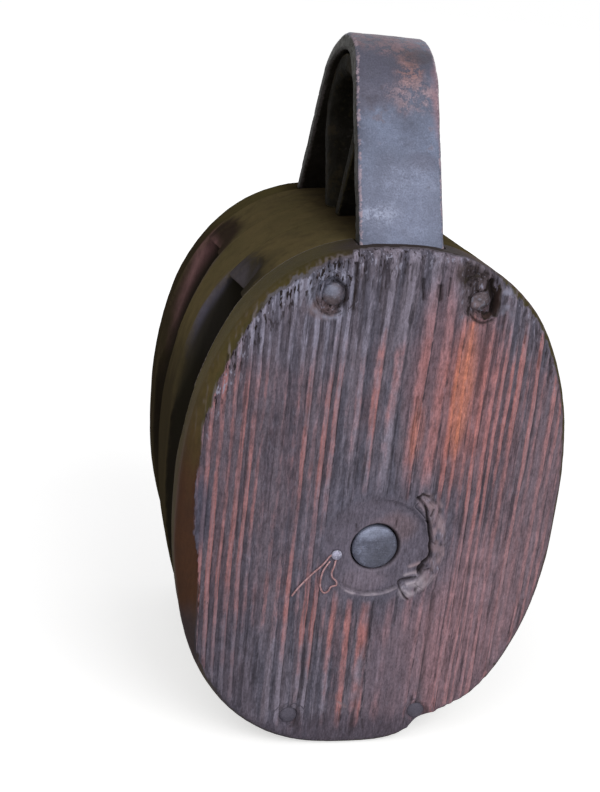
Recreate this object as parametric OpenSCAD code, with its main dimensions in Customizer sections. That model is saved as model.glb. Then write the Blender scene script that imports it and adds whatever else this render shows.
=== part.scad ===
// Ship's double block: a wooden pulley built up from cheeks, chocks and a partition,
// with two sheaves on one pin and an iron strap let into the cheeks.
// The front face looks towards -Y, the eye stands up along +Z, and the origin is
// on the flat worn at the foot, midway across the shell.

/* [Shell] */
// Width of the shell across the face
shell_w = 152; // [140:1:170]
// Squareness of the oval: 2 is an ellipse, more is squarer
oval_power = 2.36; // [2.2:0.02:2.7]
// How much of the oval's lower end is worn away
foot_wear = 1.25; // [0.6:0.05:2.5]
// How far the worn rounding of the cheeks' rims reaches across the face
rim_wide = 6.5; // [2:0.1:8]
// Depth of that rounding into the cheeks' thickness
rim_deep = 4; // [1:0.1:5]

/* [Layers] */
// Thickness of each outer cheek
cheek_t = 18.5; // [17:0.5:23]
// Thickness of the partition between the sheaves
partition_t = 31; // [28:0.5:40]
// Thickness of each sheave
sheave_t = 31.75; // [28:0.25:36]
// Play between a sheave and the wood on each side
sheave_play = 1.375; // [0.6:0.025:2.5]

/* [Sheaves] */
// Diameter of each sheave over its rims
sheave_d = 120; // [110:1:124]
// Diameter of the rope that the groove is cut for
rope_d = 25; // [18:0.5:26]
// Depth of the rope groove below the rims
groove_depth = 9; // [6:0.5:11]
// Broken corner of each sheave rim
sheave_edge = 1; // [0.4:0.1:1.4]

/* [Coaks] */
// Outer radius of the coak's tube
coak_tube_r = 14; // [12.5:0.25:15]
// Radius of the coak flange between its lobes
coak_flange_r = 17; // [16:0.25:19]
// Thickness of the coak flanges, let in flush
coak_flange_t = 3; // [2:0.25:4]
// Radius of the circle that the three lobes stand on
coak_lobe_at = 19; // [18:0.25:21]
// Radius of each lobe
coak_lobe_r = 6.5; // [5.5:0.25:7.5]
// Shank diameter of the rivets through the lobes
coak_rivet_d = 4.4; // [3:0.1:5]

/* [Pin] */
// Diameter of the pin
pin_d = 18.2; // [16:0.1:20]
// Height of the pin's axis above the foot
pin_z = 90.5; // [88:0.5:94]
// How far the pin's axis lies to the right of the shell's middle
pin_x = 2; // [-3:0.1:3]
// Radial clearance of the coaks running on the pin
pin_run = 0.06; // [0.03:0.01:0.1]
// Radial clearance of the pin in the partition and the strap
pin_snug = 0.05; // [0.03:0.01:0.1]
// Radial gap round the pin in the cheeks, opened by shrinkage
pin_gap = 0.6; // [0.3:0.1:1]
// How far the pin's ends stand off the floors of the recesses
pin_proud = 0.7; // [0.3:0.1:1]

/* [Pin recesses] */
// Radius of the round recess in each cheek's face
recess_r = 21; // [19:0.5:22.5]
// Depth of the recess
recess_depth = 1.4; // [1.2:0.1:2.5]
// Gap from the recess to the raised lip on its right
lip_gap = 1.4; // [0.8:0.1:3]
// Width of the raised lip
lip_w = 6.6; // [4:0.2:9]
// Height of the lip above the face
lip_h = 1.6; // [0.8:0.1:2.5]
// Angle at which the lip starts, below the horizontal
lip_from = 40; // [20:1:60]
// Angle at which the lip ends, above the horizontal
lip_to = 54; // [30:1:70]

/* [Worn corner] */
// Where the chip in the front cheek's foot starts, right of the middle
chip_from = 20; // [14:0.5:24]
// Where the chip runs out on the rim, right of the middle
chip_to = 56; // [48:0.5:60]
// How far the chip bites up from the rim
chip_bite = 10; // [4:0.25:10.5]

/* [Chocks] */
// Opening above the sheaves for the rope
swallow = 27; // [26:0.5:29]
// Wood from the swallow's roof up to the crown
crown_t = 31.75; // [30:0.25:36]
// Half width of the flat part of the swallow's roof
roof_half = 44; // [38:1:48]
// Rise of the roof's flared ends, in degrees
roof_flare = 28; // [15:1:35]
// Distance from the middle to the tip of each gouged flank
gouge_x = 42.5; // [38:0.5:46]
// Radius of the gouge that scooped the flanks
gouge_r = 20; // [18:0.5:24]
// Lean of the gouge cut from upright, in degrees
gouge_lean = 30; // [25:1:36]
// Height at which the ropes wore the slots' edges most
wear_z = 158; // [150:1:164]
// How deep that wear bites into the edges
wear_bite = 4.8; // [2:0.1:6]
// Radius of the worn hollow across a slot
wear_r = 26; // [22:0.5:32]
// Lean of the worn hollow from upright, in degrees
wear_lean = 18; // [12:1:24]
// Gap between a sheave and the hollow of the bottom chock
tail_gap = 5; // [3:0.5:7]
// Distance from the pin's axis down to the bottom chock's shoulders
tail_drop = 48; // [44:1:54]

/* [Strap] */
// Width of the iron strap
strap_w = 32.2; // [28:0.2:36]
// Thickness of the iron strap
strap_t = 6.5; // [5:0.25:8]
// Height of the strap's top above the foot
strap_top = 277.6; // [270:0.2:290]
// Outer radius of the strap's arch
arch_r = 33; // [31:0.5:36]
// Wood left between the strap's legs and the cheeks' faces
leg_cover = 8.9; // [7.5:0.1:9.6]
// Inner radius of the bends where the legs enter the shell
bend_r = 5; // [3:0.5:8]
// Depth of the bends' centres below the crown
bend_drop = 6; // [5:0.5:10]
// Broken corners of the strap
strap_edge = 0.9; // [0.3:0.1:1.4]
// Clearance round the strap in its grooves
strap_gap = 0.5; // [0.3:0.1:0.8]

/* [Thimble] */
// Width of the thimble
thimble_w = 27; // [22:0.5:28]
// Thickness of the thimble's wall
thimble_t = 8; // [6:0.25:9]
// Gap between the thimble and the sides of the strap's arch
thimble_gap = 0.7; // [0.4:0.1:1.2]
// How far the thimble hangs below the arch's centre
thimble_sag = 0.6; // [0:0.1:1]
// Lean of the thimble's legs from upright, in degrees
thimble_lean = 25.5; // [22:0.5:28]
// Rounding of the thimble's inner edges
thimble_round = 3.8; // [2:0.2:4]

/* [Shell rivets] */
// Distance of each rivet from the pin's axis, across the face
rivet_x = 27.2; // [24:0.1:30]
// Depth of the upper rivets below the crown
rivet_below_crown = 18.4; // [17:0.1:20]
// Height of the lower rivets above the foot
rivet_above_foot = 13.8; // [13:0.1:17]
// Shank diameter of the rivets
rivet_d = 6.4; // [5:0.1:7]
// Diameter of the rivets' domed heads
rivet_head_d = 8.8; // [8:0.1:10]
// Height of the heads
rivet_head_h = 1.9; // [1.2:0.1:2.4]
// Radius of the wells that the heads sit in
well_r = 7.1; // [6.6:0.1:8]
// Depth of the wells
well_depth = 3.4; // [3:0.1:4.5]
// How far the upper wells' gouged run-outs reach towards the rim
runout = 11; // [8:0.5:13]
// Depth of the run-outs at their far end
runout_depth = 1.2; // [0.5:0.1:3]
// Radius of the roves under the clenched rear ends
rove_r = 6.4; // [5.6:0.1:6.5]
// Thickness of the roves
rove_t = 1.4; // [1:0.1:1.6]

/* [Pin cover and tacks] */
// Thickness of the round cover over the pin's rear end
cover_t = 2.2; // [1.8:0.1:3]
// Radial clearance of the cover in its recess
cover_gap = 0.3; // [0.1:0.1:0.8]
// Distance from the pin's axis to the tacks
tack_at = 15.5; // [13:0.1:16]
// Direction of the front tack from the pin, in degrees
tack_angle = 190; // [170:1:210]
// Radius of the tacks' heads
tack_head_r = 2.1; // [1.6:0.1:2.6]
// Height of the tacks' domed heads
tack_head_h = 1.2; // [0.8:0.1:1.6]
// Shank diameter of the tacks
tack_d = 1.4; // [1:0.1:1.8]
// Wood left between the tacks' tips and the strap's grooves
tack_cover = 1.1; // [0.6:0.1:2.5]
// Diameter of the scrap of copper wire round the front tack
wire_d = 0.8; // [0.6:0.1:1]

/* [Hidden] */

$fn = 96;
dome_steps = 4;
// A straight run goes a little way into the arc it leaves, a hair slimmer all round
lap = 0.3;
hair = 0.02;

// Layers along Y
slot_t = sheave_t + 2 * sheave_play;
half_t = partition_t / 2 + slot_t + cheek_t;
cheek_in = half_t - cheek_t;
slot_mid = (partition_t + slot_t) / 2;

// Swallow and tail
sheave_r = sheave_d / 2;
roof_z = pin_z + sheave_r + swallow;
tail_z = pin_z - tail_drop;

// Oval of the shell, from the crown down to its foot before that is worn flat
crown = roof_z + crown_t;
oval_h = crown + foot_wear;
oval_mid = oval_h / 2 - foot_wear;
oval_steps = 96;
rim_steps = 4;

// Rope groove, a little wider than the rope
groove_r = rope_d / 2 + 1;
groove_at = sheave_r - groove_depth + groove_r;

// Pin
pin_r = pin_d / 2;
pin_end = half_t - recess_depth + pin_proud;
pin_edge = 1;

// Strap path in the YZ plane: arch, leaning leg, bend, upright leg
leg_out = half_t - leg_cover;
arch_z = strap_top - arch_r;
bend_out = bend_r + strap_t;
bend_y = leg_out - bend_out;
bend_z = crown - bend_drop;
span = norm([bend_y, arch_z - bend_z]);
leg_lean = atan2(bend_y, arch_z - bend_z) - asin((arch_r - bend_out) / span);
leg_len = sqrt(pow(span, 2) - pow(arch_r - bend_out, 2));
leg_end_r = strap_w / 2;

// Thimble
thimble_out = arch_r - strap_t - thimble_gap;
thimble_in = thimble_out - thimble_t;
thimble_z = arch_z - thimble_sag;
thimble_leg = (thimble_z - crown) / cos(thimble_lean);

// Rivets
rivet_top_z = crown - rivet_below_crown;
shank_snug = 0.05;
rivet_floor = half_t - well_depth;

// Sheave rivets, countersunk flush in both flanges
coak_snug = 0.05;
coak_head_r = coak_rivet_d / 2 + 1.2;
coak_head_t = 1.2;

// Tacks
tack_len = half_t - recess_depth - leg_out - strap_gap - tack_cover;

// Front tack and its wire
tack_lift = wire_d + 0.1;
tack_snug = 0.05;
front_tack_pos = [pin_x + tack_at * cos(tack_angle), pin_z + tack_at * sin(tack_angle)];
wire_rest = wire_d / 2 + 0.05;

// Route of the wire: across, up, and 0 on the recess floor to 1 on the face
wire_route = [
    [-16.3, -17.2, 1], [-13.9, -13.4, 1], [-9.5, -8, 1], [-6, -4.4, 1],
    [-4.3, -2.6, 0.7], [-2.9, -1.2, 0.1], [-1.15, 0.5, 0], [0, 1.25, 0],
    [1.2, 0.4, 0], [0.8, -1.2, 0], [-0.1, -2.7, 0.1], [-0.5, -4.4, 0.6],
    [-1.4, -7, 1], [-1, -9.2, 1], [0.7, -10.9, 1], [0.9, -12.7, 1],
    [-1.1, -13.4, 1], [-2, -15.3, 1], [-3.7, -16, 1], [-5.1, -14.1, 1],
    [-5.6, -10.8, 1], [-5, -6.6, 1], [-3.6, -4, 0.8], [-2.4, -2.6, 0.4]
];
wire_steps = 3;
wire_sides = 6;

// Height of the oval's upper edge at a distance x from the middle
function oval_top(x) =
    oval_mid + oval_h / 2 * pow(1 - pow(abs(x) / (shell_w / 2), oval_power), 1 / oval_power);

// Height of the oval's lower edge there
function oval_foot(x) = 2 * oval_mid - oval_top(x);

// Distance of the oval's side from the middle at a height z
function oval_side(z) =
    shell_w / 2 * pow(1 - pow(abs(z - oval_mid) / (oval_h / 2), oval_power), 1 / oval_power);

// Points of the oval, drawn in by an inset
function oval(inset = 0) = [
    for (i = [0 : oval_steps - 1])
        let (a = 360 * i / oval_steps, c = cos(a), s = sin(a))
        [
            (shell_w / 2 - inset) * sign(c) * pow(abs(c), 2 / oval_power),
            oval_mid + (oval_h / 2 - inset) * sign(s) * pow(abs(s), 2 / oval_power)
        ]
];

// Solid through a stack of rings that have the same number of points
module loft(rings) {
    n = len(rings[0]);
    last = len(rings) - 1;
    sides = [
        for (k = [0 : last - 1], i = [0 : n - 1], half = [0, 1])
            let (j = (i + 1) % n)
            half == 0 ? [k * n + i, k * n + j, (k + 1) * n + j]
                      : [k * n + i, (k + 1) * n + j, (k + 1) * n + i]
    ];
    polyhedron(
        points = [for (ring = rings) each ring],
        faces = concat(
            [[for (i = [n - 1 : -1 : 0]) i]],
            sides,
            [[for (i = [0 : n - 1]) last * n + i]]
        )
    );
}

// Flat shape in X and Z, made solid between two depths
module along_y(from, to)
    translate([0, to, 0]) rotate([90, 0, 0]) linear_extrude(to - from) children();

// Round bar or bore along Y
module rod_y(x, z, from, to, r)
    translate([x, to, z]) rotate([90, 0, 0]) cylinder(h = to - from, r = r);

// Pieces that stand on the shell's front or rear, turned to the rear by a mirror
module facing(side)
    mirror([0, side == "rear" ? 1 : 0, 0]) children();

module oval_2d()
    intersection() {
        polygon(oval());
        translate([-shell_w, 0]) square([2 * shell_w, 2 * oval_h]);
    }

module at_rivets(z)
    for (x = [-rivet_x, rivet_x]) translate([pin_x + x, 0, z]) children();

// Well for a rivet head
module well()
    rod_y(0, 0, -half_t - 1, -rivet_floor, well_r);

// Gouged run-out from a well up towards the rim
module well_runout()
    hull() {
        translate([0, -rivet_floor - 1, 0]) rotate([90, 0, 0])
            cylinder(h = well_depth, r = well_r - 0.2, $fn = 32);
        translate([0, runout_depth - half_t, runout]) rotate([90, 0, 0])
            cylinder(h = runout_depth + 1, r = well_r - 0.6, $fn = 32);
    }

// Hollow that the ropes wore along both flanks, in the edges of the front slot
module rope_wear() {
    deep = wear_bite + wear_r - sqrt(pow(wear_r, 2) - pow(slot_t / 2, 2));
    for (side = [0, 1]) mirror([side, 0, 0])
        translate([oval_side(wear_z), -slot_mid, wear_z]) rotate([0, -wear_lean, 0])
            translate([wear_r - deep, 0, -oval_h]) cylinder(h = 2 * oval_h, r = wear_r);
}

// Cheek with a rounded outer rim, as it stands at the front
module cheek_blank() {
    rounded = [
        for (k = [0 : rim_steps])
            let (a = 90 * k / rim_steps)
            [
                for (p = oval(rim_wide * (1 - sin(a))))
                    [p[0], -half_t + rim_deep * (1 - cos(a)), p[1]]
            ]
    ];
    inner = [for (p = oval()) [p[0], -cheek_in, p[1]]];
    difference() {
        loft(concat(rounded, [inner]));
        translate([-shell_w, -2 * half_t, -oval_h]) cube([2 * shell_w, 2 * half_t, oval_h]);
    }
}

// Groove for a strap leg, open at the crown and towards the sheave
module leg_groove() {
    depth = leg_out + strap_gap;
    wide = strap_w + 2 * strap_gap;
    translate([-wide / 2, -depth, pin_z]) cube([wide, depth - cheek_in + 1, crown]);
    rod_y(0, pin_z, -depth, -cheek_in + 1, wide / 2);
}

module cheek()
    difference() {
        cheek_blank();
        leg_groove();
        rope_wear();
        rod_y(pin_x, pin_z, -half_t - 1, -cheek_in + 1, pin_r + pin_gap);
        rod_y(pin_x, pin_z, -half_t - 1, -half_t + recess_depth, recess_r);
        for (z = [rivet_top_z, rivet_above_foot]) at_rivets(z) {
            rod_y(0, 0, -half_t - 1, -cheek_in + 1, rivet_d / 2 + shank_snug);
            well();
        }
        at_rivets(rivet_top_z) well_runout();
    }

// Raised, cracked lip of the cheek's own wood beside the pin's recess
module lip() {
    lip_in = recess_r + lip_gap;
    translate([pin_x, -half_t, pin_z]) rotate([90, 0, 0]) rotate([0, 0, -lip_from])
        rotate_extrude(angle = lip_from + lip_to)
            polygon([
                [lip_in, -0.5], [lip_in + 0.4, lip_h], [lip_in + lip_w * 0.45, lip_h],
                [lip_in + lip_w * 0.8, lip_h * 0.6], [lip_in + lip_w, -0.5]
            ]);
}

// Chip worn out of the foot of the front cheek: its far edge slopes up along the rim, and
// its upper side slopes down into the wood, to run out just before the cheek's inner face
module foot_chip() {
    peak = [chip_from + chip_bite, oval_foot(chip_from) + chip_bite];
    lean = atan((peak[1] - oval_foot(peak[0])) / (cheek_t - 1));
    far = oval_foot(chip_to) - peak[1];
    low = -2 * oval_h;
    translate([0, -half_t, peak[1]]) rotate([-lean, 0, 0]) rotate([90, 0, 0])
        linear_extrude(4 * cheek_t, center = true) polygon([
            [chip_from, low], [chip_from, -chip_bite * cos(lean)], [peak[0], 0],
            [chip_to, far * cos(lean)], [shell_w, far * cos(lean)], [shell_w, low]
        ]);
}

module tack_hole(x, z)
    rod_y(x, z, -half_t, -half_t + recess_depth + tack_len + 0.5, tack_d / 2 + tack_snug);

module front_cheek()
    color("#5e4a48") union() {
        difference() {
            cheek();
            foot_chip();
            tack_hole(front_tack_pos[0], front_tack_pos[1]);
        }
        lip();
    }

module rear_cheek()
    color("#5a4640") facing("rear") difference() {
        cheek();
        at_cover_tacks() tack_hole(0, 0);
    }

module centre_partition()
    color("#4a4232") difference() {
        along_y(-partition_t / 2, partition_t / 2) oval_2d();
        for (side = ["front", "rear"]) facing(side) rope_wear();
        rod_y(pin_x, pin_z, -partition_t, partition_t, pin_r + pin_snug);
        for (z = [rivet_top_z, rivet_above_foot])
            at_rivets(z) rod_y(0, 0, -partition_t, partition_t, rivet_d / 2 + shank_snug);
    }

// Outline of the top chock: the oval above a roof whose ends flare upwards
module top_chock_2d() {
    reach = shell_w;
    rise = (reach - roof_half) * tan(roof_flare);
    intersection() {
        oval_2d();
        polygon([
            [-roof_half, roof_z], [roof_half, roof_z], [reach, roof_z + rise],
            [reach, 2 * oval_h], [-reach, 2 * oval_h], [-reach, roof_z + rise]
        ]);
    }
}

// Scoop along a flank, so that the rope leads fair into the swallow
module flank_gouge()
    for (side = [0, 1]) mirror([side, 0, 0])
        translate([gouge_x, -slot_mid, oval_top(gouge_x)])
            rotate([0, -gouge_lean, 0]) translate([gouge_r, 0, -oval_h])
                cylinder(h = 2 * oval_h, r = gouge_r);

module top_chock()
    difference() {
        along_y(-cheek_in, -partition_t / 2) top_chock_2d();
        flank_gouge();
        at_rivets(rivet_top_z) rod_y(0, 0, -half_t, 0, rivet_d / 2 + shank_snug);
    }

module bottom_chock()
    difference() {
        along_y(-cheek_in, -partition_t / 2) intersection() {
            oval_2d();
            translate([-shell_w, 0]) square([2 * shell_w, tail_z]);
        }
        rod_y(pin_x, pin_z, -half_t, 0, sheave_r + tail_gap);
        at_rivets(rivet_above_foot) rod_y(0, 0, -half_t, 0, rivet_d / 2 + shank_snug);
    }

module front_top_chock() color("#4c4430") top_chock();
module rear_top_chock() color("#4c4430") facing("rear") top_chock();
module front_bottom_chock() color("#463d2e") bottom_chock();
module rear_bottom_chock() color("#463d2e") facing("rear") bottom_chock();

// Sweep of a section about an axis along X, from one angle to another, and straight
// runs that leave its two ends. Angle 0 points down and 90 towards +Y.
module arc_x(from, to)
    rotate([0, 90, 0]) rotate([0, 0, from]) rotate_extrude(angle = to - from) children();

module run_x(at, length, back)
    rotate([0, 90, 0]) rotate([0, 0, at]) rotate([90, 0, 0])
        translate([0, 0, back ? -lap : -length - lap])
            linear_extrude(length + 2 * lap) children();

// Flat bar between an inner radius and strap_t more, with broken corners
module strap_section(inner_r, slim = 0) {
    w = strap_w / 2 - slim;
    e = strap_edge;
    r = inner_r + slim;
    out = inner_r + strap_t - slim;
    polygon([
        [r, -w + e], [r + e, -w], [out - e, -w], [out, -w + e],
        [out, w - e], [out - e, w], [r + e, w], [r, w - e]
    ]);
}

// One leg below the arch: leaning run, bend, upright run and rounded end
module strap_leg() {
    translate([0, 0, arch_z])
        run_x(90 + leg_lean, leg_len, true) strap_section(arch_r - strap_t, hair);
    translate([0, bend_y, bend_z]) {
        arc_x(90, 90 + leg_lean) strap_section(bend_r);
        run_x(90, bend_z - pin_z, true) strap_section(bend_r, hair);
    }
    translate([0, leg_out, pin_z]) rotate([90, 0, 0]) rotate_extrude()
        polygon([
            [0, 0], [leg_end_r - strap_edge, 0], [leg_end_r, strap_edge],
            [leg_end_r, strap_t - strap_edge], [leg_end_r - strap_edge, strap_t], [0, strap_t]
        ]);
}

module iron_strap()
    color("#6f7380") difference() {
        union() {
            translate([0, 0, arch_z])
                arc_x(90 + leg_lean, 270 - leg_lean) strap_section(arch_r - strap_t);
            for (side = [0, 1]) mirror([0, side, 0]) strap_leg();
        }
        rod_y(pin_x, pin_z, -half_t, half_t, pin_r + pin_snug);
    }

// Wall of the thimble, with its inner edges rounded for the rope or hook
module thimble_section(slim = 0) {
    w = thimble_w / 2;
    r = thimble_round;
    translate([thimble_in + r, -w + slim])
        square([thimble_t - r - slim, thimble_w - 2 * slim]);
    translate([thimble_in + slim, -w + r])
        square([thimble_t - 2 * slim, thimble_w - 2 * r]);
    for (side = [-1, 1])
        translate([thimble_in + r, side * (w - r)]) circle(r = r - slim);
}

module thimble()
    color("#4d4a46") difference() {
        translate([0, 0, thimble_z]) {
            arc_x(90 - thimble_lean, 270 + thimble_lean) thimble_section();
            run_x(90 - thimble_lean, thimble_leg, true) thimble_section(hair);
            run_x(270 + thimble_lean, thimble_leg, false) thimble_section(hair);
        }
        along_y(-half_t, half_t) oval_2d();
    }

module sheave_pin()
    color("#6a6a72") translate([pin_x, pin_end, pin_z]) rotate([90, 0, 0]) rotate_extrude()
        polygon([
            [0, 0], [pin_r - pin_edge, 0], [pin_r, pin_edge],
            [pin_r, 2 * pin_end - pin_edge], [pin_r - pin_edge, 2 * pin_end], [0, 2 * pin_end]
        ]);

// Pieces of a sheave lie round the Y axis, midway through its slot
module in_slot(side)
    translate([pin_x, side == "rear" ? slot_mid : -slot_mid, pin_z])
        rotate([90, 0, 0]) children();

module at_lobes()
    for (a = [90, 210, 330]) rotate([0, 0, a]) translate([coak_lobe_at, 0, 0]) children();

module lobed_2d(grow = 0) {
    circle(r = coak_flange_r + grow);
    at_lobes() circle(r = coak_lobe_r + grow);
}

module sheave(side)
    in_slot(side) difference() {
        rotate_extrude() difference() {
            h = sheave_t / 2;
            e = sheave_edge;
            polygon([
                [0, -h], [sheave_r - e, -h], [sheave_r, -h + e],
                [sheave_r, h - e], [sheave_r - e, h], [0, h]
            ]);
            translate([groove_at, 0]) circle(r = groove_r);
        }
        cylinder(h = 2 * sheave_t, r = coak_tube_r + coak_snug, center = true);
        for (z = [-sheave_t / 2 - 1, sheave_t / 2 - coak_flange_t - coak_snug])
            translate([0, 0, z]) linear_extrude(coak_flange_t + coak_snug + 1)
                lobed_2d(coak_snug);
        at_lobes() cylinder(h = 2 * sheave_t, r = coak_rivet_d / 2 + coak_snug, center = true);
    }

// Rivet through both flanges, its ends spread into the countersinks
module coak_rivet(grow = 0) {
    h = sheave_t / 2;
    rotate_extrude() polygon([
        [0, -h - grow], [coak_head_r + grow, -h - grow],
        [coak_rivet_d / 2 + grow, -h + coak_head_t], [coak_rivet_d / 2 + grow, h - coak_head_t],
        [coak_head_r + grow, h + grow], [0, h + grow]
    ]);
}

// Coak: the tube that runs on the pin, in one piece with its front flange
module coak(side)
    in_slot(side) difference() {
        union() {
            cylinder(h = sheave_t, r = coak_tube_r, center = true);
            translate([0, 0, sheave_t / 2 - coak_flange_t]) linear_extrude(coak_flange_t)
                lobed_2d();
        }
        cylinder(h = 2 * sheave_t, r = pin_r + pin_run, center = true);
        at_lobes() coak_rivet(coak_snug);
    }

module coak_plate(side)
    in_slot(side) difference() {
        translate([0, 0, -sheave_t / 2]) linear_extrude(coak_flange_t) lobed_2d();
        cylinder(h = 2 * sheave_t, r = coak_tube_r + coak_snug, center = true);
        at_lobes() coak_rivet(coak_snug);
    }

module coak_rivets(side)
    in_slot(side) at_lobes() coak_rivet();

module front_sheave() color("#3d3026") sheave("front");
module front_sheave_coak() color("#7d6a45") coak("front");
module front_sheave_coak_plate() color("#7d6a45") coak_plate("front");
module front_sheave_rivets() color("#6b5a3c") coak_rivets("front");
module rear_sheave() color("#3d3026") sheave("rear");
module rear_sheave_coak() color("#7d6a45") coak("rear");
module rear_sheave_coak_plate() color("#7d6a45") coak_plate("rear");
module rear_sheave_rivets() color("#6b5a3c") coak_rivets("rear");

// Outline of a domed head that rests on height z, upwards from its edge to its top
// or, for a head that hangs below z, from its lowest point out to its edge
function dome(r, h, z) = [
    for (k = [0 : dome_steps]) let (a = 90 * k / dome_steps) [r * cos(a), z + h * sin(a)]
];
function dome_below(r, h, z) = [
    for (k = [dome_steps : -1 : 0]) let (a = 90 * k / dome_steps) [r * cos(a), z - h * sin(a)]
];

// Rivet from front to rear: a domed head in each well, the rear one over a rove
module shell_rivet() {
    r = rivet_d / 2;
    front = rivet_floor;
    rear = -rivet_floor - rove_t;
    rotate([90, 0, 0]) rotate_extrude() polygon(concat(
        [[r, rear], [r, front]],
        dome(rivet_head_d / 2, rivet_head_h, front),
        dome_below(rivet_head_d / 2, rivet_head_h, rear)
    ));
}

module shell_rivets()
    color("#5f5c60") for (z = [rivet_top_z, rivet_above_foot]) at_rivets(z) shell_rivet();

module rivet_roves()
    color("#5f5c60") for (z = [rivet_top_z, rivet_above_foot]) at_rivets(z)
        difference() {
            rod_y(0, 0, rivet_floor, rivet_floor + rove_t, rove_r);
            rod_y(0, 0, 0, half_t, rivet_d / 2 + shank_snug);
        }

// Tack pointing into the wood along +Y, its head resting a little off the surface
module tack(lift)
    rotate([90, 0, 0]) rotate_extrude() polygon(concat(
        [[0, -tack_len], [tack_d / 2, -tack_len + tack_d], [tack_d / 2, lift]],
        dome(tack_head_r, tack_head_h, lift)
    ));

module front_tack()
    color("#b9b6b4") translate([front_tack_pos[0], -half_t + recess_depth, front_tack_pos[1]])
        tack(tack_lift);

// Smooth curve through the route's points, one stretch at a time
function along(route, i, t) =
    let (
        last = len(route) - 1,
        a = route[max(i - 1, 0)], b = route[i],
        c = route[min(i + 1, last)], d = route[min(i + 2, last)]
    )
    (2 * b + (c - a) * t + (2 * a - 5 * b + 4 * c - d) * t * t
        + (3 * b - a - 3 * c + d) * t * t * t) / 2;

// Scrap of wire hooked round the front tack, with one straight tail and one loop
module tack_wire() {
    count = len(wire_route);
    floor_y = -half_t + recess_depth - wire_rest;
    places = [
        for (p = wire_route) [
            front_tack_pos[0] + p[0], floor_y - p[2] * recess_depth, front_tack_pos[1] + p[1]
        ]
    ];
    path = concat(
        [for (i = [0 : count - 2], k = [0 : wire_steps - 1]) along(places, i, k / wire_steps)],
        [places[count - 1]]
    );
    last = len(path) - 1;
    rings = [
        for (i = [0 : last])
            let (
                heading = path[min(i + 1, last)] - path[max(i - 1, 0)],
                across = cross(heading, [0, 1, 0]),
                side = across / norm(across),
                top = cross(side, heading) / norm(heading)
            )
            [
                for (k = [0 : wire_sides - 1])
                    let (a = -360 * k / wire_sides)
                    path[i] + wire_d / 2 * (cos(a) * side + sin(a) * top)
            ]
    ];
    color("#9c6656") loft(rings);
}

module at_cover_tacks()
    for (a = [tack_angle : 90 : tack_angle + 270])
        translate([pin_x + tack_at * cos(a), 0, pin_z + tack_at * sin(a)]) children();

// Round cover tacked over the pin's rear end, hollowed for the end that stands proud
module rear_pin_cover()
    color("#4b3a34") facing("rear") difference() {
        rod_y(pin_x, pin_z, -half_t + recess_depth - cover_t, -half_t + recess_depth,
            recess_r - cover_gap);
        rod_y(pin_x, pin_z, -pin_end - 0.2, 0, pin_r + pin_gap);
        at_cover_tacks() rod_y(0, 0, -half_t - cover_t, 0, tack_d / 2 + tack_snug);
    }

module rear_cover_tacks()
    color("#8a8684") facing("rear") at_cover_tacks()
        translate([0, -half_t + recess_depth, 0]) tack(cover_t);

front_cheek();
rear_cheek();
centre_partition();
front_top_chock();
rear_top_chock();
front_bottom_chock();
rear_bottom_chock();
iron_strap();
thimble();
sheave_pin();
front_sheave();
front_sheave_coak();
front_sheave_coak_plate();
front_sheave_rivets();
rear_sheave();
rear_sheave_coak();
rear_sheave_coak_plate();
rear_sheave_rivets();
shell_rivets();
rivet_roves();
front_tack();
tack_wire();
rear_pin_cover();
rear_cover_tacks();
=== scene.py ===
import bpy
import bmesh
import math
import numpy as np
from mathutils import Vector, Matrix


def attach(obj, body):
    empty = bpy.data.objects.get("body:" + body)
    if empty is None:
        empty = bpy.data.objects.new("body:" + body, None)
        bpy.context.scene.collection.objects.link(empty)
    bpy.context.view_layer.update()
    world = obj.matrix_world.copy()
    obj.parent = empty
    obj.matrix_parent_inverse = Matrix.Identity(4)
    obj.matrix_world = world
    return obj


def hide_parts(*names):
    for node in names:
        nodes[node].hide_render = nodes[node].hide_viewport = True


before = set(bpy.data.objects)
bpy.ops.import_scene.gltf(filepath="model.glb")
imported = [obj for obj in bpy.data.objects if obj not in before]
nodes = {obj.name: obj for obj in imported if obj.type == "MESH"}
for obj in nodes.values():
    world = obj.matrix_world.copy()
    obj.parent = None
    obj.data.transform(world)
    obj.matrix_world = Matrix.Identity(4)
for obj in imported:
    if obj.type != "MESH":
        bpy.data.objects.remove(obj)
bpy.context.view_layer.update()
print("frame loaded:", len(nodes), "nodes")


# Small helpers for node trees. Colours are given as red, green and blue from 0 to 255.
def srgb(r, g, b):
    return tuple(((c / 255 + 0.055) / 1.055) ** 2.4 for c in (r, g, b)) + (1.0,)


def feed(socket, value):
    if isinstance(value, bpy.types.NodeSocket):
        socket.id_data.links.new(value, socket)
    else:
        socket.default_value = value


# The tree of the first socket among some values
def treeOf(values):
    return next(v.id_data for v in values if isinstance(v, bpy.types.NodeSocket))


def put(tree, kind, values=None, **settings):
    made = tree.nodes.new(kind)
    for key, value in settings.items():
        setattr(made, key, value)
    for key, value in (values or {}).items():
        feed(made.inputs[key], value)
    return made


def calc(operation, *values, clamp=False):
    return put(treeOf(values), "ShaderNodeMath", dict(enumerate(values)), operation=operation,
               use_clamp=clamp).outputs[0]


def times(first, *others):
    for value in others:
        first = calc("MULTIPLY", first, value)
    return first


def plus(a, b):
    return calc("ADD", a, b)


def minus(a, b, clamp=False):
    return calc("SUBTRACT", a, b, clamp=clamp)


def timesPlus(a, b, c, clamp=False):
    return calc("MULTIPLY_ADD", a, b, c, clamp=clamp)


def vecCalc(operation, *values):
    made = put(treeOf(values), "ShaderNodeVectorMath", dict(enumerate(values)), operation=operation)
    return made.outputs["Value" if operation == "LENGTH" else "Vector"]


def millimetres(place):
    return vecCalc("MULTIPLY", place, (1000.0, 1000.0, 1000.0))


# Draws a pattern out along the grain
def drawn(place, share):
    return vecCalc("MULTIPLY", place, (1.0, 1.0, share))


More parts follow.
